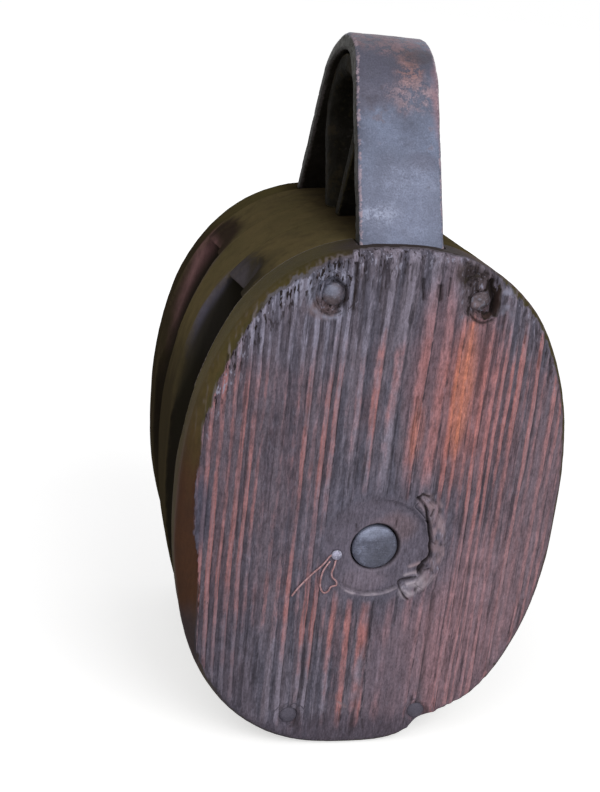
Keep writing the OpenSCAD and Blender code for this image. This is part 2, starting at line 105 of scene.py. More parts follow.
def onAxis(axis, value):
    return put(value.id_data, "ShaderNodeCombineXYZ", {axis: value}).outputs[0]


def noise(vector, scale, detail=2.0, rough=0.5):
    values = {"Vector": vector, "Scale": scale, "Detail": detail, "Roughness": rough}
    return put(vector.id_data, "ShaderNodeTexNoise", values).outputs[0]


def remap(value, low, high, toLow=0.0, toHigh=1.0, smooth=True):
    values = dict(enumerate((value, low, high, toLow, toHigh)))
    return put(value.id_data, "ShaderNodeMapRange", values,
               interpolation_type="SMOOTHSTEP" if smooth else "LINEAR").outputs[0]


def mix(share, a, b, blend="MIX"):
    a, b = (srgb(*v) if isinstance(v, tuple) else v for v in (a, b))
    return put(treeOf((share, a, b)), "ShaderNodeMix", {0: share, 6: a, 7: b}, data_type="RGBA",
               blend_type=blend).outputs[2]


# Inputs are named with their kind, or with the number that they start from
def newGroup(name, kind, inputs, outputs):
    tree = bpy.data.node_groups.new(name, kind)
    for label, start in inputs.items():
        sort = start if isinstance(start, str) else "Float"
        socket = tree.interface.new_socket(label, in_out="INPUT", socket_type="NodeSocket" + sort)
        if start != sort:
            socket.default_value = start
    for label in outputs:
        sort = "Geometry" if label == "Geometry" else "Float"
        tree.interface.new_socket(label, in_out="OUTPUT", socket_type="NodeSocket" + sort)
    return tree, tree.nodes.new("NodeGroupInput").outputs, tree.nodes.new("NodeGroupOutput").inputs


def useGroup(group, values, kind="ShaderNodeGroup"):
    return put(treeOf(values.values()), kind, values, node_tree=group).outputs


# Helpers of the geometry trees, which take and give one geometry and set its material
def geometryGroup(name, inputs):
    inputs = {"Geometry": "Geometry", **inputs, "Material": "Material"}
    return newGroup(name, "GeometryNodeTree", inputs, ["Geometry"])


def position(tree):
    return tree.nodes.new("GeometryNodeInputPosition").outputs[0]


# Moves a geometry out along its normals by a height in millimetres
def pushed(geometry, height):
    tree = geometry.id_data
    move = vecCalc("SCALE", tree.nodes.new("GeometryNodeInputNormal").outputs[0])
    feed(move.node.inputs["Scale"], times(height, 0.001))
    return put(tree, "GeometryNodeSetPosition", {"Geometry": geometry, "Offset": move}).outputs[0]


def realized(geometry):
    return put(geometry.id_data, "GeometryNodeRealizeInstances", {"Geometry": geometry}).outputs[0]


def skinned(geometry, given, out):
    tree = geometry.id_data
    done = put(tree, "GeometryNodeSetMaterial", {"Geometry": geometry, "Material": given["Material"]})
    feed(out["Geometry"], done.outputs[0])
    return tree


# Growth rings: one recipe, built once for the meshes and once for the materials, so that
# the colours follow the raised grain. All lengths in it are in millimetres.
ringInputs = {"Pith X": -300.0, "Pith Y": 30.0, "Pitch": 3.0, "Wave": 2.0, "Broad From": 0.0,
              "Broad To": 0.0, "Broad Share": 1.0, "Ring Seed": 0.0}


def ringGroup(kind):
    tree, given, out = newGroup("growthRings" + kind[0], kind, {"Vector": "Vector", **ringInputs},
                                ["Ridge", "Tone", "Fall Shade"])
    place = millimetres(given["Vector"])
    shifted = vecCalc("ADD", place, onAxis("Z", times(given["Ring Seed"], 37.0)))
    slow = noise(drawn(shifted, 0.22), 0.03, 1.0)
    quick = noise(drawn(shifted, 0.3), 0.13, 1.0)
    lasting = noise(drawn(shifted, 0.2), 0.07, 2.0)
    xyz = put(tree, "ShaderNodeSeparateXYZ", {0: place}).outputs
    dx, dy = minus(xyz[0], given["Pith X"]), minus(xyz[1], given["Pith Y"])
    radius = calc("SQRT", plus(times(dx, dx), times(dy, dy)))
    swing = timesPlus(minus(quick, 0.5), 1.1, times(minus(slow, 0.5), given["Wave"]))
    across = plus(plus(radius, given["Pith X"]), swing)
    wide = minus(given["Broad To"], given["Broad From"])
    inside = calc("MINIMUM", calc("MAXIMUM", minus(across, given["Broad From"]), 0.0), wide)
    spread = minus(across, times(inside, minus(1.0, given["Broad Share"])))
    turns = calc("DIVIDE", spread, given["Pitch"])
    drift = put(tree, "ShaderNodeTexNoise", {
        "W": timesPlus(turns, 0.23, given["Ring Seed"]), "Scale": 1.0}, noise_dimensions="1D")
    phase = timesPlus(drift.outputs[0], 1.6, turns)
    cell = calc("FLOOR", phase)
    part = minus(phase, cell)
    tone = put(tree, "ShaderNodeTexWhiteNoise", {"W": plus(cell, given["Ring Seed"])},
               noise_dimensions="1D").outputs[0]
    size = times(remap(tone, 0.05, 0.8, 0.3, 1.0), remap(lasting, 0.34, 0.56, 0.35, 1.0))
    fall = remap(part, 0.82, 1.0, 1.0, 0.0)
    feed(out["Ridge"], times(remap(part, 0.28, 0.66), fall, size))
    feed(out["Tone"], tone)
    # painted shade along the steep fall on one side of each ridge
    feed(out["Fall Shade"], times(remap(part, 0.84, 0.97), size))
    return tree


ringsForMesh = ringGroup("GeometryNodeTree")
ringsForSkin = ringGroup("ShaderNodeTree")


# Raised grain over a dense mesh, as hard late wood stands proud of soft early wood
def reliefTree():
    tree, given, out = geometryGroup("raisedGrain", {
        **ringInputs, "Ridge Depth": 0.3, "Fibre Depth": 0.05, "Dent Depth": 0.3})
    place = position(tree)
    values = {label: given[label] for label in ringInputs}
    rings = useGroup(ringsForMesh, dict(values, Vector=place), "GeometryNodeGroup")
    mask = put(tree, "GeometryNodeInputNamedAttribute", {"Name": "relief"}, data_type="FLOAT")
    where = millimetres(place)
    strands, dents = noise(drawn(where, 0.07), 0.8, 2.0), noise(where, 0.035, 2.0)
    ridge = times(minus(rings["Ridge"], 0.45), given["Ridge Depth"])
    fibre = times(minus(strands, 0.5), given["Fibre Depth"])
    dent = times(minus(dents, 0.5), given["Dent Depth"])
    height = plus(times(plus(ridge, fibre), mask.outputs[0]), dent)
    return skinned(realized(pushed(given["Geometry"], height)), given, out)


raisedGrain = reliefTree()


# Forged skin: broad hammer marks and small pits over iron
def forgedTree():
    tree, given, out = geometryGroup("forgedSkin", {
        "Hammer Size": 14.0, "Hammer Depth": 0.4, "Pit Size": 2.0, "Pit Depth": 0.2, "Seed": 0.0})
    place = vecCalc("ADD", millimetres(position(tree)), onAxis("X", times(given["Seed"], 91.0)))
    blows = noise(place, calc("DIVIDE", 1.0, given["Hammer Size"]), 1.0)
    spots = noise(place, calc("DIVIDE", 1.0, given["Pit Size"]), 2.0)
    pits = times(remap(spots, 0.55, 0.75), given["Pit Depth"])
    dents = times(minus(blows, 0.5), given["Hammer Depth"])
    return skinned(realized(pushed(given["Geometry"], minus(dents, pits))), given, out)


forgedSkin = forgedTree()


# Domed heads with shanks on every point of a mesh, facing out along Y
def headsTree():
    tree, given, out = geometryGroup("domedHeads", {
        "Head Radius": 4.4, "Head Height": 1.9, "Shank Radius": 3.2, "Shank Length": 10.0,
        "Dent": 0.3, "Seed": 0.0})
    ball = put(tree, "GeometryNodeMeshUVSphere", {"Segments": 40, "Rings": 24, "Radius": 0.001})
    shape = put(tree, "ShaderNodeCombineXYZ", {
        "X": given["Head Radius"], "Y": given["Head Radius"], "Z": given["Head Height"]})
    head = put(tree, "GeometryNodeTransform", {
        "Geometry": ball.outputs[0], "Scale": shape.outputs[0]})
    shank = put(tree, "GeometryNodeMeshCylinder", {
        "Vertices": 24, "Radius": times(given["Shank Radius"], 0.001),
        "Depth": times(given["Shank Length"], 0.001)})
    down = onAxis("Z", times(given["Shank Length"], -0.0005))
    sunk = put(tree, "GeometryNodeTransform", {"Geometry": shank.outputs[0], "Translation": down})
    both = tree.nodes.new("GeometryNodeJoinGeometry")
    for part in (sunk.outputs[0], head.outputs[0]):
        tree.links.new(part, both.inputs[0])
    front = calc("SIGN", put(tree, "ShaderNodeSeparateXYZ", {0: position(tree)}).outputs[1])
    spin = put(tree, "FunctionNodeRandomValue", {"Min": -3.0, "Max": 3.0, "Seed": 5},
               data_type="FLOAT")
    placed = put(tree, "GeometryNodeInstanceOnPoints", {
        "Points": given["Geometry"], "Instance": both.outputs[0],
        "Rotation": onAxis("X", times(front, -math.pi / 2))})
    spun = put(tree, "GeometryNodeRotateInstances", {
        "Instances": placed.outputs[0], "Rotation": onAxis("Z", spin.outputs[1])})
    real = realized(spun.outputs[0])
    where = vecCalc("ADD", millimetres(position(tree)), onAxis("Y", given["Seed"]))
    size = times(minus(noise(where, 0.2, 2.0), 0.55), given["Dent"])
    return skinned(pushed(real, size), given, out)


domedHeads = headsTree()


# Flat rings on every point of a mesh, lying across Y
def rovesTree():
    tree, given, out = geometryGroup("flatRoves", {
        "Outer Radius": 6.4, "Hole Radius": 3.2, "Thickness": 1.4, "Dent": 0.3})
    outer, hole = given["Outer Radius"], given["Hole Radius"]
    path = put(tree, "GeometryNodeCurvePrimitiveCircle", {
        "Resolution": 48, "Radius": times(plus(outer, hole), 0.0005)})
    box = put(tree, "GeometryNodeCurvePrimitiveQuadrilateral", {
        0: times(minus(outer, hole), 0.001), 1: times(given["Thickness"], 0.001)})
    soft = put(tree, "GeometryNodeFilletCurve", {"Curve": box.outputs[0], "Radius": 0.0003})
    ring = put(tree, "GeometryNodeCurveToMesh", {
        "Curve": path.outputs[0], "Profile Curve": soft.outputs[0]})
    placed = put(tree, "GeometryNodeInstanceOnPoints", {
        "Points": given["Geometry"], "Instance": ring.outputs[0],
        "Rotation": (math.pi / 2, 0.0, 0.0)})
    real = realized(placed.outputs[0])
    size = times(minus(noise(millimetres(position(tree)), 0.3, 1.0), 0.5), given["Dent"])
    return skinned(pushed(real, size), given, out)


flatRoves = rovesTree()
print("geometry trees built")


# Shader groups that more than one material uses
def spotGroup():
    tree, given, out = newGroup("spot", "ShaderNodeTree", {
        "Vector": "Vector", "Centre": "Vector", "Reach": "Vector", "Ragged": 0.5, "Soft": 0.5},
        ["Mask"])
    place = millimetres(given["Vector"])
    away = vecCalc("LENGTH", vecCalc("DIVIDE", vecCalc("SUBTRACT", place, given["Centre"]),
                                     given["Reach"]))
    torn = noise(drawn(place, 0.3), 0.16, 3.0, 0.6)
    away = timesPlus(minus(torn, 0.5), given["Ragged"], away)
    low, high = minus(1.0, given["Soft"]), plus(1.0, given["Soft"])
    feed(out["Mask"], remap(away, low, high, 1.0, 0.0))
    return tree


def fibreGroup():
    tree, given, out = newGroup("fibres", "ShaderNodeTree", {"Vector": "Vector", "Seed": 0.0},
                                ["Fine", "Streak", "Blotch", "Dash", "Line", "Grit"])
    place = vecCalc("ADD", millimetres(given["Vector"]), onAxis("X", times(given["Seed"], 53.0)))
    feed(out["Blotch"], noise(place, 0.045, 4.0, 0.6))
    for label, along, scale, detail, rough in (
            ("Fine", 0.16, 0.95, 4.0, 0.7), ("Dash", 0.3, 0.8, 2.0, 0.6),
            ("Streak", 0.09, 0.22, 3.0, 0.55), ("Line", 0.035, 0.62, 2.0, 0.6),
            ("Grit", 0.5, 1.5, 2.0, 0.7)):
        feed(out[label], noise(drawn(place, along), scale, detail, rough))
    return tree


def dirtGroup():
    tree, given, out = newGroup("dirt", "ShaderNodeTree", {
        "Vector": "Vector", "Hollow": 0.0, "Amount": 0.5}, ["Mask"])
    patch = noise(millimetres(given["Vector"]), 0.12, 4.0, 0.65)
    base = times(remap(patch, 0.42, 0.7), times(given["Amount"], 0.6))
    feed(out["Mask"], timesPlus(given["Hollow"], given["Amount"], base, clamp=True))
    return tree


spot, fibres, dirt = spotGroup(), fibreGroup(), dirtGroup()


def newMaterial(name):
    material = bpy.data.materials.new(name)
    material.use_nodes = True
    tree = material.node_tree
    shader = tree.nodes["Principled BSDF"]
    place = tree.nodes.new("ShaderNodeTexCoord").outputs["Object"]
    return material, tree, shader, place


def attribute(tree, name):
    return put(tree, "ShaderNodeAttribute", attribute_name=name).outputs["Fac"]


def spotMask(place, at, reach, ragged, soft):
    return useGroup(spot, {"Vector": place, "Centre": at, "Reach": reach, "Ragged": ragged,
                           "Soft": soft})[0]


# A spot is a row of its place and reach in millimetres, colour, share, raggedness and
# softness. A seventh value keeps an iron spot within broken patches, and gives the share
# that a spot on a wooden face has in the low grain.
def addSpots(place, colour, spots, within=None):
    for at, reach, tint, share, ragged, soft, *kept in spots:
        part = times(spotMask(place, at, reach, ragged, soft), share)
        if kept:
            part = times(part, within)
        colour = mix(part, colour, tint)
    return colour


def addBump(shader, strength, distance, height):
    bump = put(height.id_data, "ShaderNodeBump", {
        "Strength": strength, "Distance": distance, "Height": height})
    feed(shader.inputs["Normal"], bump.outputs[0])


# Wood: weathered grain on the broad faces, a worn rim, and a smooth handled skin round the
# sides. The meshes carry masks for wear, hollows, cracks, pale wood and painted highlights, torn
# places, and painted shade deep in the slots.
def woodMaterial(name, look):
    material, tree, shader, place = newMaterial(name)
    rings = useGroup(ringsForSkin, dict(look["rings"], Vector=place))
    strands = useGroup(fibres, {"Vector": place, "Seed": look["seed"]})
    facing, wear, hollow, relief, crack, pale, torn, deep = (attribute(tree, n) for n in (
        "facing", "wear", "hollow", "relief", "crack", "pale", "torn", "deep"))

    # weathered face: dark soft wood, harder ridges that run from grey to red
    redness = timesPlus(rings["Tone"], 0.3, times(strands["Streak"], 0.8))
    redness = timesPlus(strands["Blotch"], 0.9, redness)
    for at, reach, by in look["redder"]:
        redness = timesPlus(spotMask(place, at, reach, 0.9, 0.7), by, redness)
    red = remap(redness, look["redFrom"], look["redFrom"] + 0.4)
    low = mix(red, look["valley"], look["redValley"])
    low = mix(remap(strands["Streak"], 0.4, 0.62), low, look["ground"])
    high = mix(red, look["ridge"], look["redRidge"])
    for at, reach, tint, share, ragged, soft, under in look["spots"]:
        mask = spotMask(place, at, reach, ragged, soft)
        high = mix(times(mask, share), high, tint)
        low = mix(times(mask, share * under), low, tint)
    stripes = remap(relief, 0.02, 0.35)
    grain = times(rings["Ridge"], stripes)
    grain = timesPlus(minus(strands["Fine"], 0.5), 0.9, grain)
    face = mix(remap(grain, 0.0, 0.75), low, high)
    # painted shade along the fall of each ridge, joined with dark lines along the grain
    edge = times(times(rings["Fall Shade"], stripes), remap(strands["Dash"], 0.38, 0.56))
    lines = times(remap(strands["Line"], 0.56, 0.66), stripes)
    edge = calc("MAXIMUM", edge, times(lines, 0.7))
    face = mix(times(edge, look["edgeShade"]), face, look["shadeAndCrackDark"])

    # handled skin of the sides and the worn rim between it and the face
    skin = mix(remap(strands["Blotch"], 0.35, 0.65), look["skin"], look["skinWarm"])
    skin = mix(times(remap(strands["Streak"], 0.5, 0.75), 0.4), skin, look["skinDark"])
    skin = addSpots(place, skin, look["skinSpots"])
    rim = addSpots(place, look["rim"], look["rimSpots"])
    uneven = timesPlus(minus(strands["Blotch"], 0.5), 0.3,
                       timesPlus(minus(strands["Dash"], 0.5), 0.5, facing))
    turned = remap(uneven, look["faceFrom"], look["faceFrom"] + 0.14)
    begun = remap(uneven, look["rimFrom"], look["rimFrom"] + look["rimSoft"])
    colour = mix(turned, mix(begun, skin, rim), face)

    # fine fibres, dark dashes and pale flecks, strongest where the wood is torn
    depth = remap(turned, 0.0, 1.0, 0.3, 1.0, False)
    grit = timesPlus(minus(strands["Grit"], 0.5), 0.7, strands["Fine"])
    shade = remap(grit, 0.25, 0.75, look["fineLow"], look["fineHigh"], False)
    colour = mix(depth, colour, mix(1.0, colour, shade, "MULTIPLY"))
    rough = times(timesPlus(torn, 0.9, 0.1), turned)
    dashes = times(remap(strands["Dash"], 0.55, 0.63), rough)
    colour = mix(dashes, colour, look["dirt"])
    flecks = times(remap(strands["Dash"], 0.33, 0.4, 1.0, 0.0), rough)
    colour = mix(flecks, colour, look["fleck"])

    rubbed = times(remap(wear, 0.2, 0.8), look["rub"])
    colour = mix(rubbed, colour, look["worn"])
    light = addSpots(place, look["pale"], look["paleSpots"])
    colour = mix(times(pale, 0.85), colour, light)
    # painted shade deep in the slots
    colour = mix(times(deep, 0.95), colour, look["deep"])
    mask = useGroup(dirt, {"Vector": place, "Hollow": remap(hollow, 0.15, 0.8),
                           "Amount": look["dirtAmount"]})[0]
    mask = calc("MAXIMUM", mask, times(crack, 0.92))
    colour = mix(mask, colour, look["dirt"])
    feed(shader.inputs["Base Color"], colour)

    gloss = remap(strands["Fine"], 0.2, 0.8, look["rough"] - 0.1, look["rough"] + 0.12, False)
    gloss = timesPlus(calc("MAXIMUM", crack, deep), 0.3, minus(gloss, times(rubbed, 0.15)))
    feed(shader.inputs["Roughness"], gloss)
    shader.inputs["Specular IOR Level"].default_value = look["specular"]
    height = timesPlus(strands["Dash"], look["dashHeight"], strands["Fine"])
    height = times(height, depth)
    addBump(shader, look["bump"], 0.0005, height)
    return material


faceRings = {"Pith X": -420.0, "Pith Y": 60.0, "Pitch": 3.5, "Wave": 5.0, "Broad From": 8.0,
             "Broad To": 40.0, "Broad Share": 0.42, "Ring Seed": 3.0}
frontWoodLook = {
    "rings": faceRings, "seed": 1.0, "rough": 0.6, "bump": 0.7, "dashHeight": 0.8, "specular": 0.03,
    # the darkest colour here is painted shade on the fall of each ridge, shared with dark grain lines
    "valley": (87, 84, 96), "ground": (108, 100, 111), "shadeAndCrackDark": (57, 54, 62),
    "redValley": (101, 87, 96), "ridge": (130, 123, 137), "redRidge": (169, 116, 115),
    "redFrom": 0.76, "edgeShade": 0.85, "fineLow": 0.6, "fineHigh": 1.38,
    "dirt": (40, 34, 34), "dirtAmount": 0.3, "worn": (140, 130, 142), "rub": 0.3,
    # the last colour here is painted shade for the faces deep in the slots
    "fleck": (150, 148, 166), "pale": (152, 132, 139), "deep": (38, 35, 28),
    "rimFrom": 0.42, "rimSoft": 0.2,
    "paleSpots": [
        # both rows turn pale marks into painted highlights: blue-white round the upper wells, bright
        # along the recess's lower edge, where pale splinters lie too
        ((0, -68, 200), (80, 30, 34), (148, 151, 171), 0.9, 0.3, 0.4),
        ((5, -68, 74), (22, 30, 8), (184, 174, 184), 0.9, 0.3, 0.4)],
    "redder": [
        ((-56, -68, 118), (22, 20, 56), 0.12),
        ((57, -68, 105), (22, 20, 72), 0.36),
        ((-14, -68, 50), (16, 20, 26), 0.16),
        ((-34, -68, 192), (46, 20, 20), -0.5),
        ((20, -68, 202), (60, 20, 12), -0.7),
        ((45, -68, 190), (24, 20, 16), -0.5),
        ((-2, -68, 118), (18, 20, 60), -0.2),
        ((-40, -68, 24), (34, 20, 30), -0.3)],
    "spots": [
        ((16, -68, 158), (10, 30, 38), (158, 112, 114), 0.75, 0.8, 0.4, 0.35),
        ((29, -68, 156), (9, 30, 34), (176, 112, 104), 0.8, 0.8, 0.4, 0.4),
        ((27.5, -68, 157), (3.6, 30, 25), (206, 130, 106), 0.85, 0.8, 0.4, 0.6),
        ((12, -68, 140), (2.6, 30, 12), (196, 124, 106), 0.6, 0.9, 0.4, 0.4),
        ((39, -68, 150), (5, 30, 34), (170, 116, 116), 0.65, 0.8, 0.4, 0.3),
        ((17, -68, 38), (12, 30, 32), (124, 107, 118), 0.75, 0.5, 0.4, 0.8),
        ((34.5, -68, 42), (4.5, 30, 34), (152, 108, 112), 0.65, 0.6, 0.4, 0.6),
        # painted sheen on the ridges at the upper left of the face
        ((-45, -68, 185), (32, 30, 22), (146, 144, 164), 0.7, 0.9, 0.4, 0),
        ((42, -68, 56), (20, 30, 42), (158, 126, 134), 0.65, 0.7, 0.4, 0.75),
        ((62, -68, 110), (14, 30, 50), (150, 120, 126), 0.3, 0.7, 0.4, 0.5),
        # painted sheen along the upper left rim of the face
        ((-37, -68, 196.5), (17, 30, 8), (158, 161, 183), 0.7, 1.2, 0.4, 0.35),
        ((-48, -68, 122), (26, 30, 52), (84, 70, 78), 0.22, 0.6, 0.4, 1),
        ((66, -68, 70), (10, 30, 60), (140, 116, 124), 0.4, 0.8, 0.4, 0.7),
        ((-67.8, -68, 104), (4.2, 30, 15), (80, 79, 94), 0.85, 0.7, 0.4, 1),
        ((-29.5, -66, 185.8), (6, 30, 3.4), (112, 93, 94), 0.75, 1.3, 0.4, 1),
        ((25, -68, 200.5), (6.5, 30, 5), (70, 60, 58), 0.85, 0.9, 0.4, 1),
        ((27, -68, 192), (6, 30, 7), (100, 90, 96), 0.8, 0.8, 0.4, 1),
        ((-56, -68, 26), (15, 30, 44), (78, 73, 84), 0.6, 0.7, 0.4, 1),
        ((-6, -68, 2), (60, 30, 12), (84, 77, 88), 0.75, 0.6, 0.4, 1),
        ((4, -68, 92), (31, 30, 29), (98, 95, 109), 0.8, 0.5, 0.35, 1),
        ((2, -68, 90.5), (21.5, 30, 21.5), (106, 99, 112), 0.7, 0.35, 0.14, 1),
        ((9, -68, 99), (9, 30, 6), (122, 104, 110), 0.6, 1, 0.4, 1),
        ((-2, -68, 76), (10, 30, 5), (128, 116, 128), 0.5, 1, 0.4, 1)],
    "skin": (71, 63, 37), "skinWarm": (76, 65, 40), "skinDark": (54, 48, 28),
    "rim": (69, 62, 38), "faceFrom": 0.74,
    "rimSpots": [
        ((-78, -66, 84), (22, 22, 52), (66, 43, 33), 0.95, 0.3, 0.4),
        ((-70, -66, 50), (8, 22, 16), (52, 49, 56), 0.85, 0.7, 0.4),
        ((-40, -66, 6), (40, 22, 34), (72, 67, 76), 0.8, 0.5, 0.4),
        ((50, -66, 60), (34, 22, 90), (84, 72, 76), 0.7, 0.5, 0.4),
        # painted sheen on the upper left rim
        ((-38, -66, 197), (20, 22, 12), (96, 93, 104), 0.7, 0.9, 0.4),
        ((0, -66, 207), (48, 22, 9), (92, 86, 96), 0.8, 0.7, 0.4),
        ((-25.5, -66, 190.8), (9.5, 22, 9.5), (48, 42, 42), 0.9, 0.3, 0.2),
        ((29.2, -66, 190.8), (9.5, 22, 9.5), (50, 43, 42), 0.9, 0.3, 0.2)],
    "skinSpots": [
        ((-78, -62, 86), (22, 18, 50), (66, 43, 33), 0.92, 0.6, 0.5),
        ((-76, -54, 96), (9, 7, 60), (58, 50, 26), 0.8, 0.4, 0.4),
        ((-70, -64, 48), (12, 22, 16), (54, 47, 50), 0.85, 0.7, 0.4),
        # painted shade on the crown under and beside the strap
        ((-14, 0, 208), (9, 90, 8), (36, 28, 18), 0.9, 0.5, 0.6),
        ((0, -56, 208), (76, 12, 30), (52, 46, 24), 0.7, 0.4, 0.4),
        ((10, -60, 209), (36, 12, 9), (52, 45, 46), 0.9, 0.5, 0.4),
        ((-25.5, -66, 190.8), (9.5, 22, 9.5), (40, 35, 34), 0.9, 0.3, 0.2),
        ((29.2, -66, 190.8), (9.5, 22, 9.5), (42, 36, 34), 0.9, 0.3, 0.2),
        ((48, -56, 190), (26, 20, 26), (84, 66, 63), 0.8, 0.5, 0.4),
        ((70, -60, 110), (30, 22, 70), (84, 68, 66), 0.5, 0.5, 0.4)],
}
rearWoodLook = dict(
    frontWoodLook, seed=7.0, redFrom=0.88, specular=0.0, rimFrom=0.14, rimSoft=0.3,
    worn=(84, 76, 52), rub=0.15, skin=(48, 42, 30), skinWarm=(54, 45, 34), skinDark=(38, 33, 24),
    rim=(66, 59, 56), redder=[((50, 68, 100), (22, 20, 70), 0.3)],
    rings=dict(faceRings, **{"Pith X": 380.0, "Ring Seed": 11.0, "Broad From": -30.0,
                             "Broad To": -6.0}),
    spots=[
        ((-20, 68, 130), (14, 30, 60), (124, 98, 98), 0.5, 0.8, 0.4, 0.4),
        ((2, 68, 90.5), (30, 30, 30), (84, 76, 80), 0.6, 0.4, 0.4, 1)],
    rimSpots=[((66, 66, 150), (26, 22, 50), (118, 114, 128), 0.8, 0.6, 0.4)],
    skinSpots=[
        ((0, 62, 208), (68, 36, 28), (76, 68, 43), 0.95, 0.4, 0.4),
        # painted light on the cheek's inner face near the slot's mouth
        ((-60, 47, 164), (15, 5, 30), (120, 88, 90), 0.9, 0.9, 0.6),
        # painted shade on the crown under and beside the strap
        ((-14, 0, 208), (9, 90, 8), (36, 28, 18), 0.9, 0.5, 0.6),
        # painted shade lower in the slot
        ((-58, 47, 100), (20, 7, 32), (26, 22, 20), 0.85, 0.5, 0.4)])
# painted light on the partition near the slots' mouths
slotMouthLightSpots = [
    ((-66, -17, 168), (13, 6, 20), (84, 81, 96), 0.9, 0.8, 0.4),
    ((66, -17, 168), (13, 6, 22), (84, 76, 83), 0.8, 0.8, 0.4),
    ((0, 17, 168), (90, 6, 22), (80, 70, 73), 0.7, 0.8, 0.4)]
# The partition's and chocks' faces that look into the slots take the near black rim colour below, as
# painted shade
edgeWoodLook = dict(
    frontWoodLook, seed=12.0, bump=0.35, specular=0.0, dirtAmount=0.2, faceFrom=1.3, rimFrom=0.68,
    rimSoft=0.3, rub=0.1, fineLow=0.75, fineHigh=1.25, worn=(76, 68, 44), pale=(88, 84, 96),
    skin=(82, 73, 50), skinWarm=(88, 77, 53), skinDark=(64, 57, 39), rim=(34, 30, 25),
    spots=[], redder=[], paleSpots=[], rimSpots=slotMouthLightSpots,
    rings=dict(faceRings, **{"Pith X": -240.0, "Pith Y": 180.0, "Ring Seed": 21.0}),
    skinSpots=slotMouthLightSpots + [
        ((-76, 0, 84), (18, 90, 70), (46, 40, 30), 0.85, 0.6, 0.4),
        # painted shade on the crown under and beside the strap
        ((-2, 0, 208), (16, 90, 8), (38, 31, 21), 0.92, 0.5, 0.5)])
scoopLook = dict(
    edgeWoodLook, seed=17.0, rough=0.62, bump=0.5, dirtAmount=0.4, skinSpots=[
        # painted shade on the crown under and beside the strap
        ((-2, 0, 208), (16, 90, 8), (38, 31, 21), 0.92, 0.5, 0.5),
        # painted shade and light across the scoops: the front one dark with a lit grey-blue part near
        # the partition, the rear one dark with a lit pink part near the far cheek
        ((-55, -33, 184), (12.5, 22, 17), (44, 40, 34), 0.95, 0.8, 0.35),
        ((-57, -23, 182), (11, 10, 13), (74, 69, 73), 0.85, 1.4, 0.6),
        ((-55, 33, 184), (12.5, 22, 17), (46, 37, 32), 0.95, 0.5, 0.25),
        ((-60, 43, 177), (8.5, 10, 9), (118, 86, 88), 0.85, 0.8, 0.6),
        ((55, 0, 184), (12.5, 90, 17), (66, 54, 52), 0.9, 0.5, 0.25)])
sheaveLook = dict(
    edgeWoodLook, seed=23.0, rough=0.45, specular=0.4, dirtAmount=0.3, rub=0.5,
    worn=(100, 82, 66), skin=(54, 43, 36), skinWarm=(66, 50, 39), skinDark=(34, 28, 24),
    rim=(52, 42, 34), skinSpots=[], rimSpots=[],
    rings=dict(faceRings, **{"Pith X": -90.0, "Pitch": 4.0, "Ring Seed": 31.0}))

frontWood = woodMaterial("frontCheekWood", frontWoodLook)
rearWood = woodMaterial("rearCheekWood", rearWoodLook)
edgeWood = woodMaterial("partitionWood", edgeWoodLook)
scoopWood = woodMaterial("chockWood", scoopLook)
sheaveWood = woodMaterial("sheaveWood", sheaveLook)
print("wood finishes made")


# Iron: a rubbed base colour, rust in broken patches and in hollows, bright edges. A strap has
# painted shade on the faces that look inwards or sideways.
def ironMaterial(name, look):
    material, tree, shader, place = newMaterial(name)
    wear, hollow, outward = (attribute(tree, n) for n in ("wear", "hollow", "outward"))
    spread = millimetres(place)
    cloud = noise(spread, look["cloud"], 5.0, 0.6)
    mottle = noise(spread, look["mottle"], 5.0, 0.7)
    speck = noise(spread, 1.7, 3.0, 0.65)
    colour = mix(remap(cloud, 0.38, 0.62), look["dark"], look["base"])
    colour = mix(times(remap(mottle, 0.52, 0.66), 0.7), colour, look["light"])
    rust = remap(timesPlus(mottle, 0.5, times(cloud, 0.7)), look["rustFrom"], look["rustFrom"] + 0.06)
    rust = times(rust, look["rustShare"])
    colour = mix(rust, colour, look["rust"])
    broken = remap(timesPlus(speck, 0.2, times(mottle, 0.8)), 0.42, 0.58)
    colour = addSpots(place, colour, look["spots"], broken)
    # painted shade on the faces that look into the arch or sideways
    if look["inwardShade"]:
        colour = mix(outward, look["inwardShade"], colour)
    rubbed = times(remap(timesPlus(minus(broken, 0.5), 0.2, wear), look["rubFrom"], 0.9), look["rub"])
    if look["inwardShade"]:
        ahead = times(put(tree, "ShaderNodeSeparateXYZ", {0: spread}).outputs[1],
                      remap(outward, 0.0, 0.5))
        rubbed = times(rubbed, remap(ahead, -18.0, -2.0, 1.0, 0.08))
    colour = mix(rubbed, colour, look["edge"])
    mask = useGroup(dirt, {"Vector": place, "Hollow": remap(hollow, 0.1, 0.7),
                           "Amount": look["dirtAmount"]})[0]
    colour = mix(mask, colour, look["dirt"])
    colour = mix(1.0, colour, remap(speck, 0.3, 0.7, look["speckLow"], look["speckHigh"], False),
                 "MULTIPLY")
    feed(shader.inputs["Base Color"], colour)
    shader.inputs["Specular IOR Level"].default_value = look["specular"]
    shine = minus(look["metal"], times(calc("MAXIMUM", rust, mask), look["metal"] * 0.7), clamp=True)
    feed(shader.inputs["Metallic"], shine)
    gloss = remap(mottle, 0.35, 0.65, look["rough"] - 0.1, look["rough"] + 0.12, False)
    gloss = timesPlus(rust, 0.2, gloss)
    feed(shader.inputs["Roughness"], gloss)
    height = timesPlus(speck, 0.4, mottle)
    if look["scratch"]:
        turned = put(tree, "ShaderNodeMapping", {
            "Vector": spread, "Rotation": (0.0, 0.7, 0.0), "Scale": (0.12, 1.0, 1.6)})
        lines = noise(turned.outputs[0], 1.2, 3.0, 0.6)
        height = timesPlus(lines, look["scratch"], height)
    addBump(shader, look["bump"], 0.0005, height)
    return material


